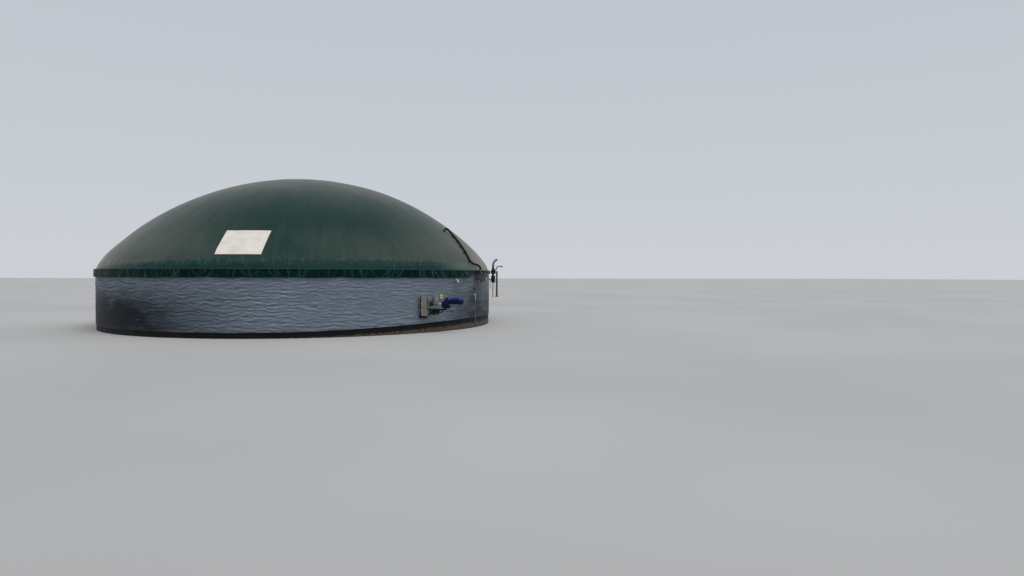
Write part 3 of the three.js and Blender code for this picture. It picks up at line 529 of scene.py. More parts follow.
def field(seed, columns, rows, u, v):
    """Smooth noise from -1 to 1; u counts the lattice's columns, which wrap round, and v its rows."""
    grid = np.random.default_rng(seed).uniform(-1, 1, (rows, columns))
    u, v = np.broadcast_arrays(u, v)
    i, j = np.floor(v).astype(int), np.floor(u).astype(int)
    a, b = v - i, u - j
    a, b = a * a * (3 - 2 * a), b * b * (3 - 2 * b)
    i1, i2 = np.clip(i, 0, rows - 1), np.clip(i + 1, 0, rows - 1)
    j1, j2 = j % columns, (j + 1) % columns
    low = grid[i1, j1] * (1 - b) + grid[i1, j2] * b
    high = grid[i2, j1] * (1 - b) + grid[i2, j2] * b
    return low * (1 - a) + high * a


def field_round(seed, columns, azimuth, rows=2, v=0.0):
    """Smooth noise with this many columns round the tank."""
    return field(seed, columns, rows, azimuth / 360 * columns, v)


def wrapped(azimuth):
    """The same azimuth between -180 and 180 degrees."""
    return (azimuth + 180) % 360 - 180


def smooth_step(value, low, high):
    share = np.clip((value - low) / (high - low), 0, 1)
    return share * share * (3 - 2 * share)


def hill(value, start, full, last, end):
    """A share that rises from start to full and falls from last to end."""
    return smooth_step(value, start, full) * (1 - smooth_step(value, last, end))


def bell(value, width):
    return np.exp(-((value / width) ** 2))


def unit(vector):
    return vector / np.linalg.norm(vector)


def smooth_path(points, spacing):
    """Evenly spaced points on the curve that the solids' pipes follow."""
    given = np.array([tuple(p) for p in points], dtype=float)
    given = np.vstack([2 * given[0] - given[1], given, 2 * given[-1] - given[-2]])
    t = np.linspace(0, 1, 60, endpoint=False)[:, None]
    curve = []
    for before, start, end, after in zip(given, given[1:], given[2:], given[3:]):
        leave, arrive = (end - before) / 2, (after - start) / 2
        curve.append(start * (2 * t ** 3 - 3 * t ** 2 + 1) + leave * (t ** 3 - 2 * t ** 2 + t)
                     + end * (3 * t ** 2 - 2 * t ** 3) + arrive * (t ** 3 - t ** 2))
    curve = np.vstack([*curve, given[-2:-1]])
    reach = np.concatenate([[0], np.cumsum(np.linalg.norm(np.diff(curve, axis=0), axis=1))])
    even = np.linspace(0, reach[-1], max(2, int(round(reach[-1] / spacing)) + 1))
    return np.stack([np.interp(even, reach, curve[:, k]) for k in range(3)], axis=1)


def rings_along(path, radius, sides):
    """Rings of points round a path, without twist."""
    along = np.gradient(path, axis=0)
    turns = np.arange(sides) * 2 * math.pi / sides
    normal = np.cross(along[0], (0.31, 0.22, 1.0))
    rings = []
    for centre, step, size in zip(path, along, np.broadcast_to(radius, len(path))):
        ahead = unit(step)
        normal = unit(normal - ahead * (normal @ ahead))
        side = np.cross(ahead, normal)
        rings.append(centre + size * (np.outer(np.cos(turns), normal) + np.outer(np.sin(turns), side)))
    return rings


# Places and directions

def shift(x, y, z):
    return Matrix.Translation((x, y, z))


UP = Matrix.Identity(4)
OUT = turned_by(90, "X")
LEFT = turned_by(-90, "Y")
RIGHT = turned_by(90, "Y")
DOWN = turned_by(180, "X")


def stand(azimuth, square=False):
    """The frame of a fixture on the wall: +X along it, -Y outwards, +Z up from the ground."""
    if square:
        return turned_by(azimuth, "Z") @ shift(0, -(CLAD_RADIUS + GAP), 0)
    middle = FLAT_DEG * (math.floor(azimuth / FLAT_DEG) + 0.5)
    flat = CLAD_RADIUS * math.cos(math.radians(FLAT_DEG / 2)) + GAP
    return turned_by(middle, "Z") @ shift(flat * math.tan(math.radians(azimuth - middle)), -flat, 0)


def on_dome(azimuth, radius, lift=0.0):
    """The point of the dome at this distance from the axis, raised along the normal."""
    on_knuckle = radius > CROWN_RADIUS * math.sin(CROWN_ANGLE)
    centre = KNUCKLE_CENTRE if on_knuckle else 0
    centre_z = KNUCKLE_CENTRE_Z if on_knuckle else CROWN_CENTRE_Z
    bend = KNUCKLE_RADIUS if on_knuckle else CROWN_RADIUS
    lean = math.asin((radius - centre) / bend)
    out = centre + (bend + lift) * math.sin(lean)
    return Vector(round_place(azimuth, out, centre_z + (bend + lift) * math.cos(lean)))


def dome_normal(azimuth, radius):
    return on_dome(azimuth, radius, 1) - on_dome(azimuth, radius)


def facing(point, direction):
    """A frame at the point whose +Z looks along the direction."""
    return Matrix.Translation(point) @ direction.to_track_quat("Z", "Y").to_matrix().to_4x4()


class Parts:
    """Small shapes that are joined into one piece, each put in place by a matrix."""

    def __init__(self, place=UP):
        self.place = place
        self.points = []
        self.faces = []

    def skin(self, rings, at=UP, caps=True):
        """Faces between rings of points, with a face over each end."""
        start, sides = len(self.points), len(rings[0])
        frame_at = self.place @ at
        self.points += [frame_at @ Vector(p) for ring in rings for p in ring]
        self.faces += [tuple(start + k for k in face) for face in
                       grid_faces(len(rings), sides, loop_columns=True).tolist()]
        if caps:
            self.faces.append(tuple(range(start, start + sides)))
            self.faces.append(tuple(range(len(self.points) - sides, len(self.points))))

    def turned(self, profile, at, sides, caps=True):
        """A solid turned about +Z from radius and height pairs."""
        turns = [2 * math.pi * k / sides for k in range(sides)]
        self.skin([[(r * math.cos(t), r * math.sin(t), h) for t in turns] for r, h in profile], at, caps)

    def collar(self, inner, outer, tall, at, sides, lip=0.004):
        """A band that is inner wide at its ends and outer wide between its lips."""
        self.turned([(inner, 0), (outer, lip), (outer, tall - lip), (inner, tall)], at, sides)

    def gland(self, wide, shoulder, narrow, neck, tall, at, sides):
        """A wide foot up to its shoulder, and from the neck on a narrow end."""
        self.turned([(wide, 0), (wide, shoulder), (narrow, neck), (narrow, tall)], at, sides)

    def disc(self, radius, low, high, at, sides):
        """A round plate with its rims broken."""
        rim = min(0.003, (high - low) / 3)
        profile = [(radius - rim, low), (radius, low + rim), (radius, high - rim), (radius - rim, high)]
        self.turned(profile, at, sides)

    def block(self, size, at, chamfer=0.004):
        """A box about its middle with all its edges broken."""
        w, d, h = (c / 2 for c in size)
        c = chamfer
        rings = []
        for z, inset in ((-h, c), (c - h, 0), (h - c, 0), (h, c)):
            a, b = w - inset, d - inset
            rings.append([(a, b - c, z), (a - c, b, z), (c - a, b, z), (-a, b - c, z),
                          (-a, c - b, z), (c - a, -b, z), (a - c, -b, z), (a, c - b, z)])
        self.skin(rings, at)

    def tube(self, points, radius, at=UP, spacing=0.03):
        """A cable or pipe of eight sides through the points."""
        self.skin(rings_along(smooth_path(points, spacing), radius, 8), at)

    def hoop(self, radius, thickness, at, steps=24):
        """A closed ring about +Z, of six-sided wire."""
        turns = [2 * math.pi * k / steps for k in range(steps + 1)]
        path = np.array([(radius * math.cos(t), radius * math.sin(t), 0) for t in turns])
        self.skin(rings_along(path, thickness, 6), at)

    def bolt(self, at, size):
        """A hexagon head on its washer; size is the head's radius."""
        self.turned([(1.7 * size, 0), (1.7 * size, 0.2 * size)], at, 12)
        self.turned([(size, 0.2 * size), (size, 0.8 * size), (0.8 * size, size)], at, 6)

    def bolts(self, xs, ys, zs, look=UP, size=0.012, at=UP):
        """A bolt at every one of these places."""
        for place in ((x, y, z) for z in zs for x in xs for y in ys):
            self.bolt(at @ shift(*place) @ look, size)

    def bolts_round(self, radius, count, at, size):
        for k in range(count):
            self.bolt(at @ turned_by(360 * (k + 0.5) / count, "Z") @ shift(radius, 0, 0), size)

    def make(self, name, slot, *replaced):
        return add_piece(name, self.points, self.faces, slot, *replaced, sharp=35)


# The dome

MEMBRANE_SKIN = 0.02
DOME_EYE = 0.02


def dome_profile(s):
    """Radius, height and outward lean of the dome at arc lengths s up from its foot."""
    on_knuckle = s < KNUCKLE_ARC
    lean = np.where(on_knuckle, FOOT_LEAN - s / KNUCKLE_RADIUS,
                    CROWN_ANGLE - (s - KNUCKLE_ARC) / CROWN_RADIUS)
    bend = np.where(on_knuckle, KNUCKLE_RADIUS, CROWN_RADIUS)
    radius = np.where(on_knuckle, KNUCKLE_CENTRE, 0) + bend * np.sin(lean)
    z = np.where(on_knuckle, KNUCKLE_CENTRE_Z, CROWN_CENTRE_Z) + bend * np.cos(lean)
    return radius, z, lean


def over_dome(azimuth, s, lift):
    """Points at this lift over the dome's smooth form."""
    radius, z, lean = dome_profile(s)
    return round_place(azimuth, radius + lift * np.sin(lean), z + lift * np.cos(lean))


def arc_to_radius(radius):
    """The arc length up from the dome's foot at which it has this radius."""
    s = np.linspace(0, DOME_ARC, 4000)
    return float(s[np.argmin(np.abs(dome_profile(s)[0] - radius))])


def dome_relief(azimuth, s):
    """How far the membrane stands off its smooth form: pleats at the rim, gores and slow waves."""
    azimuth = np.asarray(azimuth)
    pleats = field_round(11, 260, azimuth) + 0.8 * field_round(12, 520, azimuth)
    reach = 0.4 + 0.1 * field_round(13, 150, azimuth)
    fold = 0.012 * pleats * bell(s - reach, 0.15)
    gathers = 0.006 * field_round(14, 720, azimuth) * np.exp(-s / 0.12)
    gore = np.abs((azimuth / 360 * GORES) % 1 - 0.5) * 2
    sag = -0.008 * gore ** 2 * hill(s, 0.6, 2.5, 13.0, 16.0)
    slow = 0.022 * field_round(15, 24, azimuth, 9, s / 2) * hill(s, 0.8, 3, 11, 14)
    return (fold + gathers) * smooth_step(s, 0.0, 0.06) + sag + slow


def make_dome():
    columns, top = 1080, DOME_ARC - DOME_EYE
    azimuth = np.arange(columns) * 360 / columns
    outer_rows = np.concatenate([np.linspace(0, 0.9, 22), np.linspace(0.9, top, 44)[1:]])
    s, a = np.meshgrid(outer_rows, azimuth, indexing="ij")
    outer = over_dome(a, s, dome_relief(a, s))
    inner_rows = np.linspace(top, 0, 9)
    s, a = np.meshgrid(inner_rows, azimuth, indexing="ij")
    radius, z, lean = dome_profile(s)
    inner = round_place(a, np.maximum(radius - MEMBRANE_SKIN * np.sin(lean), 0.01),
                        np.maximum(z - MEMBRANE_SKIN * np.cos(lean), DOME_FOOT))
    points = np.concatenate([outer, inner]).reshape(-1, 3)
    faces = grid_faces(len(outer_rows) + len(inner_rows), columns, loop_rows=True, loop_columns=True)
    add_piece("dome_membrane", points, faces, "membrane", "outer_membrane")


make_dome()


# The blank sign: its azimuths and radii; the right side slants, because the sign is cut square
SIGN = {"left": -22.3, "low_right": -10.9, "high_right": -9.8, "high": 11.55, "low": 12.91}


def make_sign():
    columns, rows = 96, 72
    low, high = arc_to_radius(SIGN["low"]), arc_to_radius(SIGN["high"])
    v, u = np.meshgrid(np.linspace(0, 1, rows), np.linspace(0, 1, columns), indexing="ij")
    s = low + (high - low) * v
    right = SIGN["low_right"] + (SIGN["high_right"] - SIGN["low_right"]) * v
    a = SIGN["left"] + (right - SIGN["left"]) * u
    edge = np.minimum(np.minimum(u, 1 - u) * 2.5, np.minimum(v, 1 - v) * 2.0)
    hem = 0.002 * (1 - smooth_step(edge, 0.03, 0.05))
    seam = 0.0015 * bell(v - 0.62, 0.006)
    waves = 0.003 * field(21, 9, 6, u * 8, v * 5) * smooth_step(edge, 0, 0.3)
    top = over_dome(a, s, dome_relief(a, s) + 0.006 + hem + seam + waves)
    piece = add_piece("sign_panel", top.reshape(-1, 3), grid_faces(rows, columns), "sign_white", "dome_sign")


make_sign()


# The wall

# Where a fixture stands on the cladding, the coating is flat: azimuth, low, high, half width
PADS = (
    (MIXER_AT, 1.0, 2.3, 0.42), (PORT_AT, 2.0, 2.36, 0.2), (SWITCH_AT, 1.8, 2.22, 0.2),
    (OVERFLOW_AT, 3.13, 3.29, 0.1), (CLIP_AT, 1.13, 1.29, 0.1), (PROBE_AT, 2.5, 2.7, 0.1),
    (PROBE_AT, 2.1, 2.3, 0.1), (CLADDING_SEAM, 0.2, 3.8, 0.07), (BLOWER_AT, 3.1, 3.45, 0.2),
    (GAUGE_AT, 3.25, 3.35, 0.05), (RELIEF_AT, 3.0, 3.36, 0.16), (BRACE_AT, 0.7, 1.9, 0.35),
)
# Patches with a raised edge, where an opening was closed: azimuths, low, high
PATCHES = ((54.3, 64.8, 1.12, 1.4), (42.5, 48.4, 2.46, 2.64))


def flat_radius(azimuth, radius):
    """The distance from the axis to the many-sided round of the solids."""
    from_corner = azimuth - FLAT_DEG * np.floor(azimuth / FLAT_DEG)
    return radius * math.cos(math.radians(FLAT_DEG / 2)) / np.cos(np.radians(from_corner - FLAT_DEG / 2))


def laps(seed, azimuth, z, tall, wide):
    """Laps of the sprayed coating, from -1 to 1: steep below and gentle above, broken into lenses."""
    cells = int(2 * math.pi * CLAD_RADIUS / wide)
    u = azimuth / 360 * cells
    sway = field(seed, cells, 9, u + 0.4 * np.sin(z * 3), z * 2)
    sway = sway + 0.5 * field(seed + 1, 2 * cells, 18, 2 * u, z * 4)
    phase = 2 * math.pi * (z + 0.45 * tall * sway) / tall
    size = smooth_step(field(seed + 2, 2 * cells, 60, 2 * u, z / (0.55 * tall)), -0.3, 0.5)
    return size * np.sin(phase + 0.6 * np.sin(phase))


def cladding_radius(azimuth, z):
    azimuth = wrapped(azimuth)
    waves = 0.55 * laps(31, azimuth, z, 0.31, 0.75) + 0.45 * laps(41, azimuth, z, 0.21, 0.5)
    waves = waves + 0.16 * field_round(51, 300, azimuth, 70, z / 0.07)
    bulge = 0.5 + 0.5 * field_round(52, 60, azimuth, 6, z * 1.1)
    depth = 0.03 * (0.65 + 0.35 * field_round(35, 22, azimuth, 5, z))
    depth = depth * (1 - 0.35 * smooth_step(azimuth, 8, 30))
    depth = depth * (1 - 0.4 * hill(azimuth, CLADDING_SEAM - 0.5, CLADDING_SEAM + 0.5, 72, 80))
    surface = CLAD_RADIUS - 0.002 - depth * (1 - waves) * 0.7 - 0.008 * bulge
    for start, end, low, high in PATCHES:
        across = np.abs(azimuth - (start + end) / 2) - (end - start) / 2
        beyond = np.abs(z - (low + high) / 2) - (high - low) / 2
        outside = np.maximum(np.radians(across) * CLAD_RADIUS, beyond)
        surface = surface + 0.015 * bell(outside, 0.022)
    pad = np.zeros_like(surface)
    for at, low, high, half_width in PADS:
        side = np.abs(np.radians(azimuth - at)) * CLAD_RADIUS - half_width
        off = np.maximum(side, np.maximum(low - z, z - high))
        pad = np.maximum(pad, 1 - smooth_step(off, 0.0, 0.16))
    surface = np.minimum(surface, CLAD_RADIUS + 0.006)
    return surface * (1 - pad) + (flat_radius(azimuth, CLAD_RADIUS) - 0.0006) * pad


def cladding_low(azimuth):
    """The cladding's lower edge, which rises to the right, where the ground was higher."""
    rise = COAT_RISE * hill(wrapped(azimuth), *COAT_RISES, *COAT_FALLS)
    return WALL_LOW + COAT_LAP + rise + 0.008 * field_round(36, 150, azimuth)


def make_cladding():
    columns, rows = 250, 126
    for i in range(SECTIONS):
        start = CLADDING_SEAM - SECTION_DEG * (i + 1) + 0.002
        end = CLADDING_SEAM - SECTION_DEG * i - 0.002
        azimuth = np.linspace(start, end, columns)
        low = cladding_low(azimuth)
        z = low[None, :] + (WALL_HIGH - low)[None, :] * np.linspace(0, 1, rows)[:, None]
        a = np.broadcast_to(azimuth, z.shape)
        outer = round_place(a, cladding_radius(a, z), z)
        back_radius = flat_radius(azimuth, WALL_RADIUS) + 0.055
        back = np.stack([round_place(azimuth, back_radius, height) for height in (WALL_HIGH, low)])
        points = np.concatenate([outer, back]).reshape(-1, 3)
        faces = [tuple(f) for f in grid_faces(rows + 2, columns, loop_rows=True)]
        faces.append(tuple((k * columns) for k in range(rows + 2)))
        faces.append(tuple((k * columns + columns - 1) for k in reversed(range(rows + 2))))
        add_piece(f"cladding_skin_{i + 1}", points, faces, "cladding", f"cladding_section_{i + 1}", sharp=65)


make_cladding()


def make_base_coat():
    """The black coating of the wall's foot, brushed on unevenly."""
    columns, rows = 720, 9
    azimuth = np.arange(columns) * 360 / columns
    share, a = np.meshgrid(np.linspace(0, 1, rows), azimuth, indexing="ij")
    top = cladding_low(azimuth) + 0.02
    z = share * top
    lumps = 0.004 * field_round(61, 240, a, 16, z / 0.05)
    face = round_place(a, flat_radius(a, STRIP_RADIUS) - 0.004 + lumps, z)
    back = [round_place(azimuth, flat_radius(azimuth, WALL_RADIUS) + 0.004, z) for z in (top, 0 * top)]
    points = np.concatenate([face, np.stack(back)]).reshape(-1, 3)
    faces = grid_faces(rows + 2, columns, loop_rows=True, loop_columns=True)
    add_piece("base_coating", points, faces, "bitumen", "base_strip")


make_base_coat()


# The edge skirt

def crease_list(seed, length):
    """Creases of a sheet: place, slant, half width and height of each; some are long bold diagonals."""
    rng = np.random.default_rng(seed)
    count = int(length / 0.24)
    place = (np.arange(count) + rng.uniform(0.1, 0.9, count)) * length / count
    bold = rng.uniform(0, 1, count) < 0.3
    slant = rng.uniform(-0.3, 0.3, count) + np.where(bold, rng.choice([-0.3, 0.3], count), 0)
    width = np.where(bold, 0.036, rng.uniform(0.02, 0.05, count))
    height = np.where(bold, 0.03, rng.uniform(0.006, 0.016, count) * rng.choice([1, 1, -0.6], count))
    return np.stack([place, slant, width, height], axis=1)


def skirt_low(azimuth):
    """The skirt's lower edge, which is gathered up at the blower."""
    return SKIRT_LOW - 0.05 + 0.28 * hill(wrapped(azimuth), 46.5, 54.5, 84, 94)


def make_skirt():
    columns, rows = 520, 21
    top = RAIL_TOP + 0.003
    length = math.radians(SECTION_DEG) * RAIL_RADIUS
    v, s = np.meshgrid(np.linspace(0, 1, rows), np.linspace(0, length, columns), indexing="ij")
    fullness = smooth_step(v, 0.0, 0.55)
    for i in range(SECTIONS):
        start = CLADDING_SEAM - SECTION_DEG * (i + 1)
        a = start + s / length * SECTION_DEG
        billow = field_round(41, 96, a)
        out = 0.004 + 0.01 * v + 0.016 * fullness * billow
        creases = crease_list(50 + i, length)
        if i == 0:
            # Two long folds where the skirt is gathered up
            folds = [(math.radians(at - start) * RAIL_RADIUS, slant, 0.08, 0.05)
                     for at, slant in ((46.8, 0.7), (48.8, 0.6))]
            creases = np.vstack([creases, folds])
        wear_and_highlight = np.zeros_like(out)
        for place, slant, width, height in creases:
            off = (s - place - slant * v ** 1.4) / width
            ridge = np.exp(0.7 - np.sqrt(off ** 2 + 0.49)) * (np.abs(off) < 7)
            out = out + height * (0.3 + 0.7 * fullness) * ridge
            # Crease ridges get a painted highlight, partly wear
            wear_and_highlight = np.maximum(wear_and_highlight, np.clip(height / 0.025, 0, 1) * ridge ** 1.4)
        # The creases' painted highlights and wear are palest at the left, and least beside the sign
        turn = wrapped(a)
        wear_and_highlight = wear_and_highlight * (1.5 - 0.5 * smooth_step(turn, -60, -42) - 0.45 * hill(turn, -42, -20, 15, 35))
        wear_and_highlight = np.clip(wear_and_highlight * (0.7 + 0.4 * field_round(43, 300, a, 4, 3 * v)), 0, 1)
        scallop = 0.02 * billow + 0.006 * field_round(42, 400, a)
        z = top - (top - skirt_low(a) + scallop) * v
        over_rail = 0.014 * smooth_step(z, RAIL_LOW - 0.06, RAIL_LOW - 0.005)
        hem = 0.004 * smooth_step(v, 0.93, 0.97)
        radius = RAIL_RADIUS - 0.01 + np.clip(out, -0.026, 0.05) + over_rail + hem
        piece = add_piece(f"skirt_sheet_{i + 1}", round_place(a, radius, z).reshape(-1, 3),
                          grid_faces(rows, columns)[:, ::-1], "skirt", "edge_skirt", wear_and_highlight=wear_and_highlight)
        piece.modifiers.new("thickness", "SOLIDIFY").thickness = 0.003


make_skirt()


def make_welt():
    """The clamping hose, which lies on the rail against the membrane's foot."""
    columns, sides = 720, 10
    t, a = np.meshgrid(np.arange(sides) * 2 * math.pi / sides, np.arange(columns) * 360 / columns,
                       indexing="ij")
    size = 0.02 + 0.0015 * field_round(62, 360, a)
    points = round_place(a, RAIL_RADIUS - 0.022 + size * np.cos(t), RAIL_TOP + 0.021 + size * np.sin(t))
    # The welt's pale tone is a painted highlight along its top, partly dust
    wear_and_highlight = 0.8 + 0.2 * field_round(63, 240, a)
    add_piece("rail_welt", points.reshape(-1, 3), grid_faces(sides, columns, True, True), "skirt", wear_and_highlight=wear_and_highlight)


make_welt()


# The air hose

def hose_route():
    """The route of the solid hose: off its inlet, to the right, down the dome and into the fan's neck."""
    rest = HOSE_RADIUS + 0.025
    at = (INLET["azimuth"], INLET["radius"])
    normal, seat = dome_normal(*at), on_dome(*at, GAP)
    on_the_dome = (
        (55.85, 10.925, 0.18), (56.5, 10.9, 0.205), (57.3, 10.9, 0.2), (58.0, 10.98, 0.17),
        (58.1, 11.2, 0.12), (57.5, 11.5, rest), (56.4, 11.85, rest), (55.2, 12.2, rest),
        (54.0, 12.55, rest), (52.95, 12.88, rest), (52.6, 13.06, rest + 0.005),
        (53.4, 13.15, rest + 0.025), (54.6, 13.2, rest + 0.055),
    )
    fan = stand(BLOWER_AT)
    out, top = NECK["out"], NECK["top"]
    down = ((-0.07, top + 0.32), (-0.2, top + 0.21), (-out, top + 0.1), (-out, top + GAP))
    return [seat + normal * (INLET["stub"] + GAP), seat + normal * 2 * INLET["stub"],
            *(on_dome(*place) for place in on_the_dome), *(fan @ Vector((0, y, z)) for y, z in down)]


def make_hose():
    pitch, sides = 0.026, 16
    path = smooth_path(hose_route(), pitch / 4)
    count = len(path)
    crests = np.cos(np.arange(count) * math.pi / 2)
    hose = Parts()
    hose.skin(rings_along(path, HOSE_RADIUS - 0.0025 + 0.0035 * crests, sides))
    hose.make("corrugated_hose", "hose_rubber", "air_hose")

    # Smooth cuffs with clamp bands at both ends
    cuffs, bands = Parts(), Parts()
    for end, inside in ((0, 1), (count - 1, -1)):
        at = facing(Vector(path[end]), Vector(path[end + inside * 8] - path[end]))
        cuffs.turned([(0.071, 0.0), (0.078, 0.006), (0.078, 0.075), (0.073, 0.09)], at, 20)
        bands.collar(0.079, 0.082, 0.018, at @ shift(0, 0, 0.022), 24, 0.002)
        bands.block((0.03, 0.018, 0.02), at @ shift(0.088, 0, 0.031))
    cuffs.make("hose_cuffs", "hose_rubber")
    bands.make("hose_clamps", "stainless")
    return path


def band_over(parts, rows, half, under):
    """A strap from rows of centre points, side and outward directions; under is how far it sinks in."""
    rings = []
    for centre, side, off in rows:
        a, b = centre + side * half, centre - side * half
        rings.append([a + off * 0.002, b + off * 0.002, b - off * under, a - off * under])
    parts.skin(rings)


def on_membrane(point, lift):
    """The place on the waving membrane below a point over it."""
    azimuth = math.degrees(math.atan2(point.x, -point.y))
    radius = math.hypot(point.x, point.y)
    wave = float(dome_relief(azimuth, np.array(arc_to_radius(radius))))
    return on_dome(azimuth, radius, wave + lift)


def make_straps(path):
    """Straps that are welded to the membrane on both sides of the hose, and one down to the rail."""
    straps = Parts()
    over_hose = HOSE_RADIUS + 0.007
    for share in (0.24, 0.36, 0.48, 0.6):
        k = int(share * len(path))
        centre, along = Vector(path[k]), Vector(path[k + 4] - path[k - 4]).normalized()
        azimuth = math.degrees(math.atan2(centre.x, -centre.y))
        level = dome_normal(azimuth, math.hypot(centre.x, centre.y) * 0.995).normalized()
        side = along.cross(level).normalized()
        tail = (0.3, 0.24, 0.18, 0.12)
        over = [centre + side * over_hose * math.cos(t) + level * over_hose * math.sin(t)
                for t in np.radians(np.linspace(205, -25, 11))]
        middle = ([on_membrane(centre - side * x, 0.004) for x in tail] + over
                  + [on_membrane(centre + side * x, 0.004) for x in reversed(tail)])
        band_over(straps, [(point, along, level) for point in middle], 0.035, 0.014)
    straps.make("hose_straps", "skirt")

    tie = Parts()
    rows = []
    for share in np.arange(13) / 12:
        azimuth, radius = 52.35 - 2.1 * share, 13.02 + 0.32 * share
        level = dome_normal(azimuth, radius).normalized()
        rows.append((on_dome(azimuth, radius, 0.02), Vector(round_place(azimuth + 90, 1, 0)), level))
    band_over(tie, rows, 0.035, 0.03)
    tie.make("tie_strap", "galvanized")


make_straps(make_hose())


def make_inlet_details():
    at = (INLET["azimuth"], INLET["radius"])
    seat = facing(on_dome(*at, GAP), dome_normal(*at))
    bolts, patch = Parts(seat), Parts(seat)
    bolts.bolts_round(0.122, 10, shift(0, 0, 0.013), 0.009)
    bolts.make("inlet_bolts", "stainless")
    patch.turned([(0.3, -0.004), (0.3, 0.004), (0.29, 0.007), (0.152, 0.008)], UP, 40)
    patch.make("inlet_patch", "membrane")


make_inlet_details()


# The mixer

def make_service_box(service):
    """Cover screws, lug bolts, a lifting handle, sealing beads at the box's sides, and a black block under
    its foot.
    """
    plate_face = 0.2886
    screws, sealing, handle = Parts(service), Parts(service), Parts(service)
    screws.bolts((-0.215, 0.215), [-plate_face], np.linspace(1.1, 2.17, 8), OUT, 0.011)
    screws.bolts((-0.1, 0.1), [-plate_face], (1.1, 2.17), OUT, 0.011)
    for z, reach in ((2.135, 0.0), (1.778, 0.025), (1.397, 0.06)):
        screws.gland(0.022, 0.03, 0.016, 0.036, 0.07, shift(-0.218 - reach, -plate_face, z) @ OUT, 8)
    screws.make("mixer_box_screws", "stainless")
    for x in (-0.095, 0.275):
        sealing.tube([(x, -0.012, 2.22), (x, -0.014, 1.6), (x, -0.012, 1.03)], 0.018, spacing=0.06)
    # A black block along the underside of the box's foot
    sealing.block((0.46, 0.16, 0.1), shift(0.05, -0.08, 0.985))
    sealing.make("mixer_box_sealing", "bitumen")
    handle.tube([(-0.06, -plate_face, 1.5), (-0.06, -0.34, 1.5), (-0.06, -0.36, 1.53), (-0.06, -0.36, 1.72),
                 (-0.06, -0.34, 1.75), (-0.06, -plate_face, 1.75)], 0.009, spacing=0.01)
    for z in (2.12, 1.15):
        handle.block((0.3, 0.006, 0.03), shift(0.02, -plate_face - 0.003, z))
    handle.make("mixer_box_handle", "grey_paint")


def make_shaft_details(shaft):
    """The bolts of the flange and the arm, and the ribs of the shaft's seal."""
    bolts, ribs = Parts(shaft), Parts(shaft)
    bolts.bolts((-0.22, 0.22), [-0.024], np.linspace(-0.24, 0.38, 6), OUT, 0.015)
    bolts.bolts_round(0.15, 8, shift(0, -0.0843, 0) @ OUT, 0.014)
    for y in (0.33, 0.55):
        bolts.collar(0.073, 0.077, 0.02, shift(0, -y, 0) @ OUT, 24, 0.003)
        bolts.block((0.02, 0.02, 0.04), shift(0.06, -y - 0.01, 0.06), 0.002)
    bolts.bolt(shift(0, -0.93, -0.25) @ DOWN, 0.024)
    bolts.make("mixer_flange_bolts", "stainless")
    for angle in range(0, 360, 45):
        ribs.block((0.012, 0.12, 0.035), turned_by(angle, "Y") @ shift(0, -0.14, 0.145), 0.002)
    ribs.gland(0.03, 0.05, 0.02, 0.06, 0.09, shift(0, -0.19, 0.125), 10)
    ribs.make("seal_housing_ribs", "dark_paint")


def make_gear_details(shaft):
    """Bearing covers with bolts, ribs, a plug and a breather."""
    gear = Parts(shaft)
    for side, look in ((0.16, RIGHT), (-0.16, LEFT)):
        face = side + math.copysign(0.012, side)
        gear.disc(0.15, 0, 0.012, shift(side, -1.06, -0.08) @ look, 28)
        gear.disc(0.075, 0.012, 0.03, shift(side, -1.06, -0.08) @ look, 20)
        gear.bolts_round(0.128, 8, shift(face, -1.06, -0.08) @ look, 0.012)
        gear.disc(0.085, 0, 0.012, shift(side, -1.1, 0.2) @ look, 20)
        gear.bolts_round(0.066, 6, shift(face, -1.1, 0.2) @ look, 0.01)
        for y in (0.88, 1.245):
            gear.block((0.02, 0.02, 0.36), shift(side, -y, -0.08), 0.004)
        gear.bolt(shift(side, -1.23, -0.2) @ look, 0.016)
    breather = [(0.022, 0), (0.022, 0.03), (0.012, 0.034), (0.012, 0.06), (0.02, 0.062), (0.02, 0.08)]
    gear.turned(breather, shift(0.08, -1.12, 0.345), 10)
    gear.block((0.2, 0.3, 0.02), shift(0, -1.06, -0.258))
    gear.make("gearbox_details", "blue_paint")


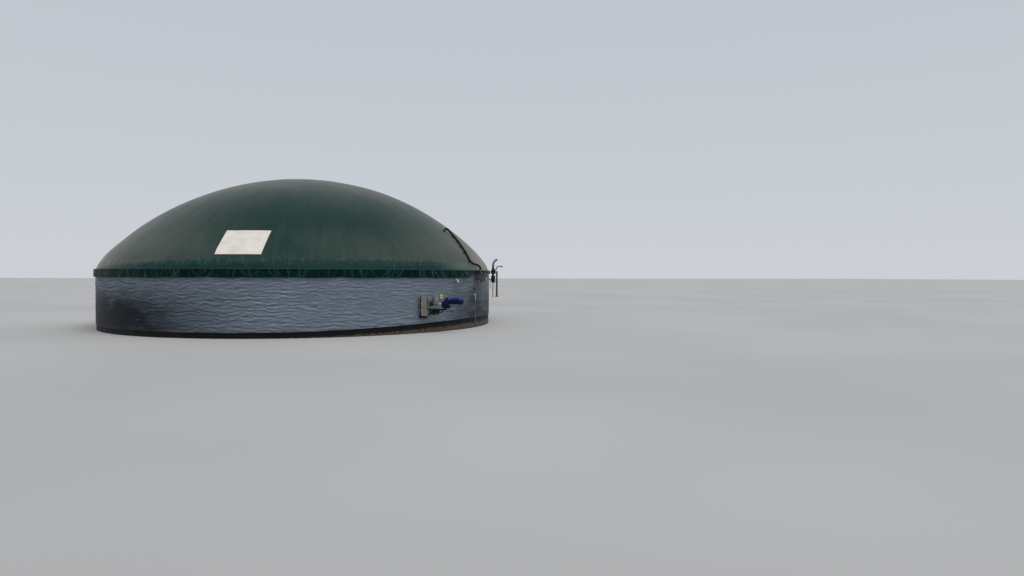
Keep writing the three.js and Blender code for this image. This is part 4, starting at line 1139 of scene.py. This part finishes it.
def make_motor_details(shaft):
    """Bell bolts, lifting eye, the terminal box's lid, the cowl and its grille."""
    axis = shaft @ shift(0, 0, 0.155)
    motor, grille = Parts(axis), Parts(axis @ shift(0, -2.0865, 0) @ OUT)
    motor.bolts_round(0.178, 8, shift(0, -1.318, 0) @ OUT, 0.012)
    motor.turned([(0.196, 0), (0.196, 0.02), (0.188, 0.026)], shift(0, -1.3206, 0) @ OUT, 32)
    motor.turned([(0.188, 0), (0.196, 0.006), (0.196, 0.026)], shift(0, -1.8446, 0) @ OUT, 32)
    motor.gland(0.024, 0.014, 0.012, 0.02, 0.03, shift(0, -1.55, 0.186), 10)
    motor.hoop(0.03, 0.008, shift(0, -1.55, 0.245) @ RIGHT)
    lid = -0.2898
    motor.block((0.012, 0.22, 0.19), shift(lid - 0.005, -1.52, 0), 0.003)
    motor.bolts([lid - 0.011], (-1.43, -1.61), (-0.075, 0.075), LEFT, 0.008)
    motor.turned([(0.19, 0), (0.203, 0.004), (0.203, 0.018), (0.2, 0.02)], shift(0, -1.872, 0) @ OUT, 36)
    for angle in (45, 135, 225, 315):
        motor.bolt(shift(0, -1.9, 0) @ turned_by(angle, "Y") @ shift(0, 0, 0.199), 0.008)
    motor.make("motor_details", "blue_paint")
    for radius in (0.035, 0.065, 0.095, 0.125, 0.155):
        grille.hoop(radius, 0.004, UP, steps=28)
    for angle in range(0, 180, 45):
        grille.block((0.32, 0.008, 0.004), turned_by(angle, "Z"), 0.001)
    grille.make("cowl_grille", "dark_paint")


def make_mixer_cables(shaft):
    """A cable from the terminal box to the gearbox, and slack loops tied along the arm."""
    cables = Parts(shaft)
    cables.gland(0.02, 0.02, 0.015, 0.024, 0.045, shift(-0.2518, -1.58, 0.065) @ DOWN, 8)
    cables.tube([(-0.2518, -1.58, 0.04), (-0.25, -1.57, -0.04), (-0.22, -1.5, -0.14), (-0.2, -1.38, -0.22),
                 (-0.16, -1.28, -0.285), (-0.06, -1.22, -0.3), (0, -1.2, -0.258)], 0.011, spacing=0.02)
    # A loop's knees: share of its width, share of its depth, share of its place aside
    tied = [(0, 0.06, 1), (0, 0.0, 1)]
    sagging = [(0.08, -0.7, 1.4), (0.5, -1.0, 1.7), (0.92, -0.7, 1.4)]
    knees = tied + sagging + [(1, 0.0, 1), (1, 0.06, 1)]
    loops = np.random.default_rng(71)
    for start in (*np.linspace(0.03, 0.42, 18), 0.5, 0.58, 0.66):
        aside = loops.uniform(0.065, 0.085) * loops.choice([-1, 1])
        width, depth = loops.uniform(0.12, 0.26), loops.uniform(0.08, 0.3)
        cables.tube([(aside * spread, -start - width * along, -0.4 + (h if h >= 0 else h * depth))
                     for along, h, spread in knees], 0.018, spacing=0.025)
    for y in (0.02, 0.32, 0.56, 0.68, 0.84):
        cables.block((0.126, 0.022, 0.112), shift(0, -y, -0.35), 0.003)
    cables.make("mixer_cables", "hose_rubber")


def make_arm_plates(shaft):
    arm = Parts(shaft)
    arm.block((0.12, 0.012, 0.12), shift(0, -1.086, -0.35))
    arm.block((0.2, 0.2, 0.014), shift(0, -0.99, -0.293))
    arm.bolts((-0.08, 0.08), (-0.92, -1.06), [-0.286])
    arm.make("arm_plates", "grey_paint")


SERVICE = stand(MIXER_AT, square=True)
make_service_box(SERVICE)
for make_details in (make_shaft_details, make_gear_details, make_motor_details, make_mixer_cables,
                     make_arm_plates):
    make_details(SERVICE @ shift(0.4, -0.25, 1.78) @ turned_by(36, "Z"))


# The fittings on the wall

def make_fitting_details():
    steel, dark, light = Parts(), Parts(), Parts()

    # The sight port's bolts, inner bezel, a dark ring behind its flange, and wiper
    port = stand(PORT_AT) @ shift(0, 0, 2.18)
    front = port @ shift(0, -0.04, 0) @ OUT
    steel.bolts_round(0.122, 12, front, 0.009)
    bezel = Parts(front)
    rim = [(0.1, GAP), (0.098, 0.006), (0.06, 0.008), (0.055, 0.004), (0.055, -0.012)]
    bezel.turned(rim, UP, 24, caps=False)
    bezel.make("port_bezel", "yellow_paint")
    dark.turned([(0.178, 0), (0.178, 0.008), (0.17, 0.012)], port @ OUT, 32)
    dark.gland(0.02, 0.012, 0.012, 0.02, 0.03, port @ shift(0, -0.03, 0) @ OUT, 10)
    dark.block((0.075, 0.006, 0.012), port @ shift(0.035, -0.042, -0.015) @ turned_by(25, "Y"), 0.001)

    # The switch box: lid, screws, glands and conduit
    switch = stand(SWITCH_AT)
    light.block((0.28, 0.016, 0.34), switch @ shift(0, -0.126, 2.01))
    steel.bolts((-0.12, 0.12), [-0.134], (1.86, 2.16), OUT, 0.007, switch)
    for x in (-0.08, 0.0, 0.08):
        dark.gland(0.018, 0.02, 0.012, 0.026, 0.04, switch @ shift(x, -0.06, 1.83) @ DOWN, 8)
    dark.tube([(0, -0.06, 1.8), (0, -0.06, 1.74), (0.02, -0.045, 1.62), (0.03, -0.04, 1.5),
               (0.03, -0.04, 1.3), (0.03, -0.03, 1.22), (0.03, 0, 1.2)], 0.009, switch)
    dark.turned([(0.022, 0), (0.022, 0.01), (0.014, 0.018)], switch @ shift(0.03, 0, 1.2) @ OUT, 8)

    # The joint cover's screws
    steel.bolts((-0.03, 0.03), [-0.01], np.arange(0.45, 3.4, 0.3), OUT, 0.006, stand(CLADDING_SEAM))

    # The probe's cable, which runs up beside the joint cover and behind the skirt
    probe = stand(PROBE_AT)
    dark.turned([(0.045, 0), (0.045, 0.02), (0.03, 0.03)], probe @ shift(0, -0.11, 2.6) @ OUT, 12)
    dark.tube([(0, -0.1, 2.64), (0.01, -0.1, 2.72), (0.06, -0.05, 2.84), (0.12, -0.02, 3.0),
               (0.12, -0.02, 3.72)], 0.007, probe)
    steel.bolts_round(0.048, 6, probe @ shift(0, -0.025, 2.6) @ OUT, 0.005)

    # The sampling valve's lever, below the probe
    steel.block((0.012, 0.13, 0.016), probe @ shift(0.03, -0.16, 2.265) @ turned_by(-20, "X"), 0.002)
    steel.turned([(0.01, 0), (0.01, 0.03)], probe @ shift(0.02, -0.11, 2.25), 8)

    # Collars round the overflow and the gauge pipe, and the gauge pipe's clips
    overflow, gauge = stand(OVERFLOW_AT), stand(GAUGE_AT)
    light.turned([(0.085, 0), (0.085, 0.01), (0.07, 0.014)], overflow @ shift(0, 0, 3.21) @ OUT, 20)
    light.turned([(0.062, 0), (0.062, 0.03), (0.058, 0.034)], overflow @ shift(0, -0.19, 3.06) @ DOWN, 16)
    for z in (2.6, 3.05):
        steel.block((0.06, 0.1, 0.02), gauge @ shift(0, -0.05, z), 0.003)
        steel.turned([(0.03, -0.012), (0.03, 0.012)], gauge @ shift(0, -0.11, z), 12)

    steel.make("fitting_fasteners", "stainless")
    dark.make("fitting_cables", "hose_rubber")
    light.make("fitting_covers", "box_plastic")


make_fitting_details()


# The blower

def make_blower_details():
    console = stand(BLOWER_AT)
    fan_z, fan_out = 3.6503, 0.375
    fan = shift(0, -fan_out, fan_z)
    steel, dark = Parts(console), Parts(console)
    steel.bolts((-0.12, 0.12), [-0.01], (3.17, 3.3), OUT, 0.012)
    steel.bolts((-0.08, 0.08), (-0.34, -0.41), [3.5205], UP, 0.009)

    # The fan: rim flanges, inlet ring with its guard, neck band
    for x in (-0.06, 0.056):
        dark.turned([(0.136, 0), (0.136, 0.004)], fan @ shift(x, 0, 0) @ RIGHT, 28)
    inlet = fan @ shift(-0.06, 0, 0) @ LEFT
    guard = fan @ shift(-0.091, 0, 0)
    steel.bolts_round(0.124, 12, inlet, 0.006)
    dark.turned([(0.075, 0), (0.075, 0.025), (0.068, 0.03)], inlet, 20)
    for radius in (0.02, 0.04, 0.058):
        steel.hoop(radius, 0.002, guard @ LEFT, steps=20)
    for angle in (0, 60, 120):
        steel.block((0.003, 0.13, 0.004), guard @ turned_by(angle, "X"), 0.0008)
    steel.collar(0.059, 0.063, 0.022, shift(0, -NECK["out"], 3.79), 20, 0.002)

    # The motor: cooling fins, end cowl and terminal box
    for x in np.arange(0.075, 0.185, 0.014):
        dark.turned([(0.076, 0), (0.076, 0.004)], fan @ shift(x, 0, 0) @ RIGHT, 24)
    cowl = [(0.074, 0), (0.078, 0.004), (0.078, 0.04), (0.06, 0.05)]
    dark.turned(cowl, fan @ shift(0.185, 0, 0) @ RIGHT, 24)
    dark.block((0.08, 0.07, 0.05), fan @ shift(0.12, 0, 0.095))
    for x, y in ((0.1, -0.02), (0.14, 0.02)):
        steel.bolt(fan @ shift(x, y, 0.12), 0.005)

    # The filters' ribs and their holders below the shelf
    for out, low in ((0.295, 3.03), (0.505, 3.08)):
        for z in np.arange(low + 0.03, low + 0.165, 0.022):
            dark.collar(0.05, 0.0535, 0.012, shift(0, -out, z), 18)
        dark.disc(0.032, 0, 0.012, shift(0, -out, 3.498), 16)

    # The motor's cable, which goes into the cladding beside the console
    dark.tube([(0.12, -fan_out, fan_z + 0.1), (0.2, -fan_out + 0.05, fan_z + 0.12), (0.22, -0.2, fan_z),
               (0.19, -0.09, 3.5), (0.185, -0.04, 3.34), (0.185, -0.03, 3.22), (0.185, 0, 3.2)], 0.008)
    dark.turned([(0.022, 0), (0.022, 0.01), (0.014, 0.018)], shift(0.185, 0, 3.2) @ OUT, 8)
    steel.make("blower_fasteners", "stainless")
    dark.make("blower_details", "dark_paint")


make_blower_details()


# The relief valve and its pipes

def make_relief_details():
    axis = stand(RELIEF_AT) @ shift(0, -0.43, 0)
    steel, dark, rust, pale = Parts(axis), Parts(axis), Parts(axis), Parts(axis)
    pot_top = 3.45
    steel.bolts_round(0.175, 12, shift(0, 0, pot_top), 0.009)
    steel.bolts_round(0.098, 6, shift(0, 0, pot_top + 0.0253), 0.009)
    for height in (0.21, 0.46):
        steel.bolts_round(0.16, 12, shift(0, 0, pot_top + height), 0.008)
    steel.bolts((-0.09, 0.09), [0.418], (3.07, 3.29), OUT, 0.011)

    # The pot's bands and level plug, the valve's ribs and collar
    for z in (3.08, 3.39):
        dark.collar(0.161, 0.165, 0.03, shift(0, 0, z), 28)
    dark.gland(0.02, 0.03, 0.014, 0.034, 0.06, shift(-0.15, 0, 3.2) @ LEFT, 10)
    for angle in range(0, 360, 45):
        dark.block((0.02, 0.006, 0.2), turned_by(angle, "Z") @ shift(0.16, 0, pot_top + 0.32), 0.002)
    dark.collar(0.1, 0.105, 0.034, shift(0, 0, 3.995), 24)

    # Collars and the end flange of the gas pipe
    pipe = shift(0, -0.292, 0)
    for z in (2.9, 2.2):
        rust.collar(0.076, 0.083, 0.04, pipe @ shift(0, 0, z), 24)
    rust.collar(0.076, 0.125, 0.026, pipe @ shift(0, 0, 1.902), 24, 0.002)
    steel.bolts_round(0.102, 8, pipe @ shift(0, 0, 1.926), 0.011)
    steel.bolts_round(0.102, 8, pipe @ shift(0, 0, 1.86) @ DOWN, 0.011)

    # The drain's collars and its valve lever
    for z in (2.56, 2.7):
        pale.collar(0.056, 0.064, 0.04, shift(0, 0, z), 16)
    pale.block((0.1, 0.11, 0.11), shift(0.01, 0, 1.96))
    steel.block((0.012, 0.16, 0.02), shift(0.1, -0.06, 1.99), 0.003)
    steel.make("relief_fasteners", "stainless")
    dark.make("relief_fittings", "dark_paint")
    rust.make("gas_pipe_collars", "rusty_pipe")
    pale.make("drain_fittings", "white_pipe")

    # The guard over the vent's mouth, and the bolts of the stub's flange
    vent = Parts(axis @ shift(0, -0.322, 4.722) @ turned_by(90 - 22.6, "X"))
    mouth = 0.085
    vent.collar(0.0855, 0.092, 0.054, shift(0, 0, -0.05), 24)
    for x in np.linspace(-0.06, 0.06, 5):
        reach = 2 * math.sqrt(mouth ** 2 - x ** 2)
        vent.block((0.003, reach, 0.003), shift(x, 0, 0.003), 0.0008)
        vent.block((reach, 0.003, 0.003), shift(0, x, 0.006), 0.0008)
    vent.make("vent_guard", "dark_paint")
    flange = Parts(axis @ shift(0, -0.68, 4.2))
    flange.bolts_round(0.082, 8, turned_by(-90, "X"), 0.01)
    flange.make("crossover_bolts", "stainless")


make_relief_details()


# The floor and the light

def make_stage():
    paint = Paint("studio_floor", roughness=0.9)
    shade = paint.blotch((0.42, 0.415, 0.4), (0.46, 0.455, 0.44), 1, 0.3, 0.7, 0.05, 2)
    paint.put(paint.shader.inputs["Base Color"], shade)
    reach = 900
    mesh = bpy.data.meshes.new("studio_floor")
    corners = [(-reach, -reach, 0), (reach, -reach, 0), (reach, reach, 0), (-reach, reach, 0)]
    mesh.from_pydata(corners, [], [(0, 1, 2, 3)])
    mesh.materials.append(paint.material)
    floor = bpy.data.objects.new("studio_floor", mesh)
    bpy.context.scene.collection.objects.link(floor)

    # The sky, paler at the horizon
    world = bpy.data.worlds.new("studio")
    world.use_nodes = True
    bpy.context.scene.world = world
    nodes, links = world.node_tree.nodes, world.node_tree.links
    height = nodes.new("ShaderNodeSeparateXYZ")
    links.new(nodes.new("ShaderNodeTexCoord").outputs["Generated"], height.inputs[0])
    sky = nodes.new("ShaderNodeValToRGB")
    horizon, overhead = sky.color_ramp.elements
    horizon.position = 0.0
    horizon.color = (0.6, 0.63, 0.67, 1)
    overhead.position = 0.7
    overhead.color = (0.46, 0.5, 0.57, 1)
    links.new(height.outputs[2], sky.inputs[0])
    links.new(sky.outputs[0], nodes["Background"].inputs["Color"])

    sun = bpy.data.lights.new("soft_sun", "SUN")
    sun.energy = 1.7
    sun.angle = math.radians(50)
    sun.color = (1.0, 0.975, 0.94)
    lamp = bpy.data.objects.new("soft_sun", sun)
    lamp.rotation_euler = Vector((0.3, -0.8, 1.6)).to_track_quat("Z", "Y").to_euler()
    bpy.context.scene.collection.objects.link(lamp)
    bpy.context.scene.view_settings.view_transform = "Standard"


make_stage()
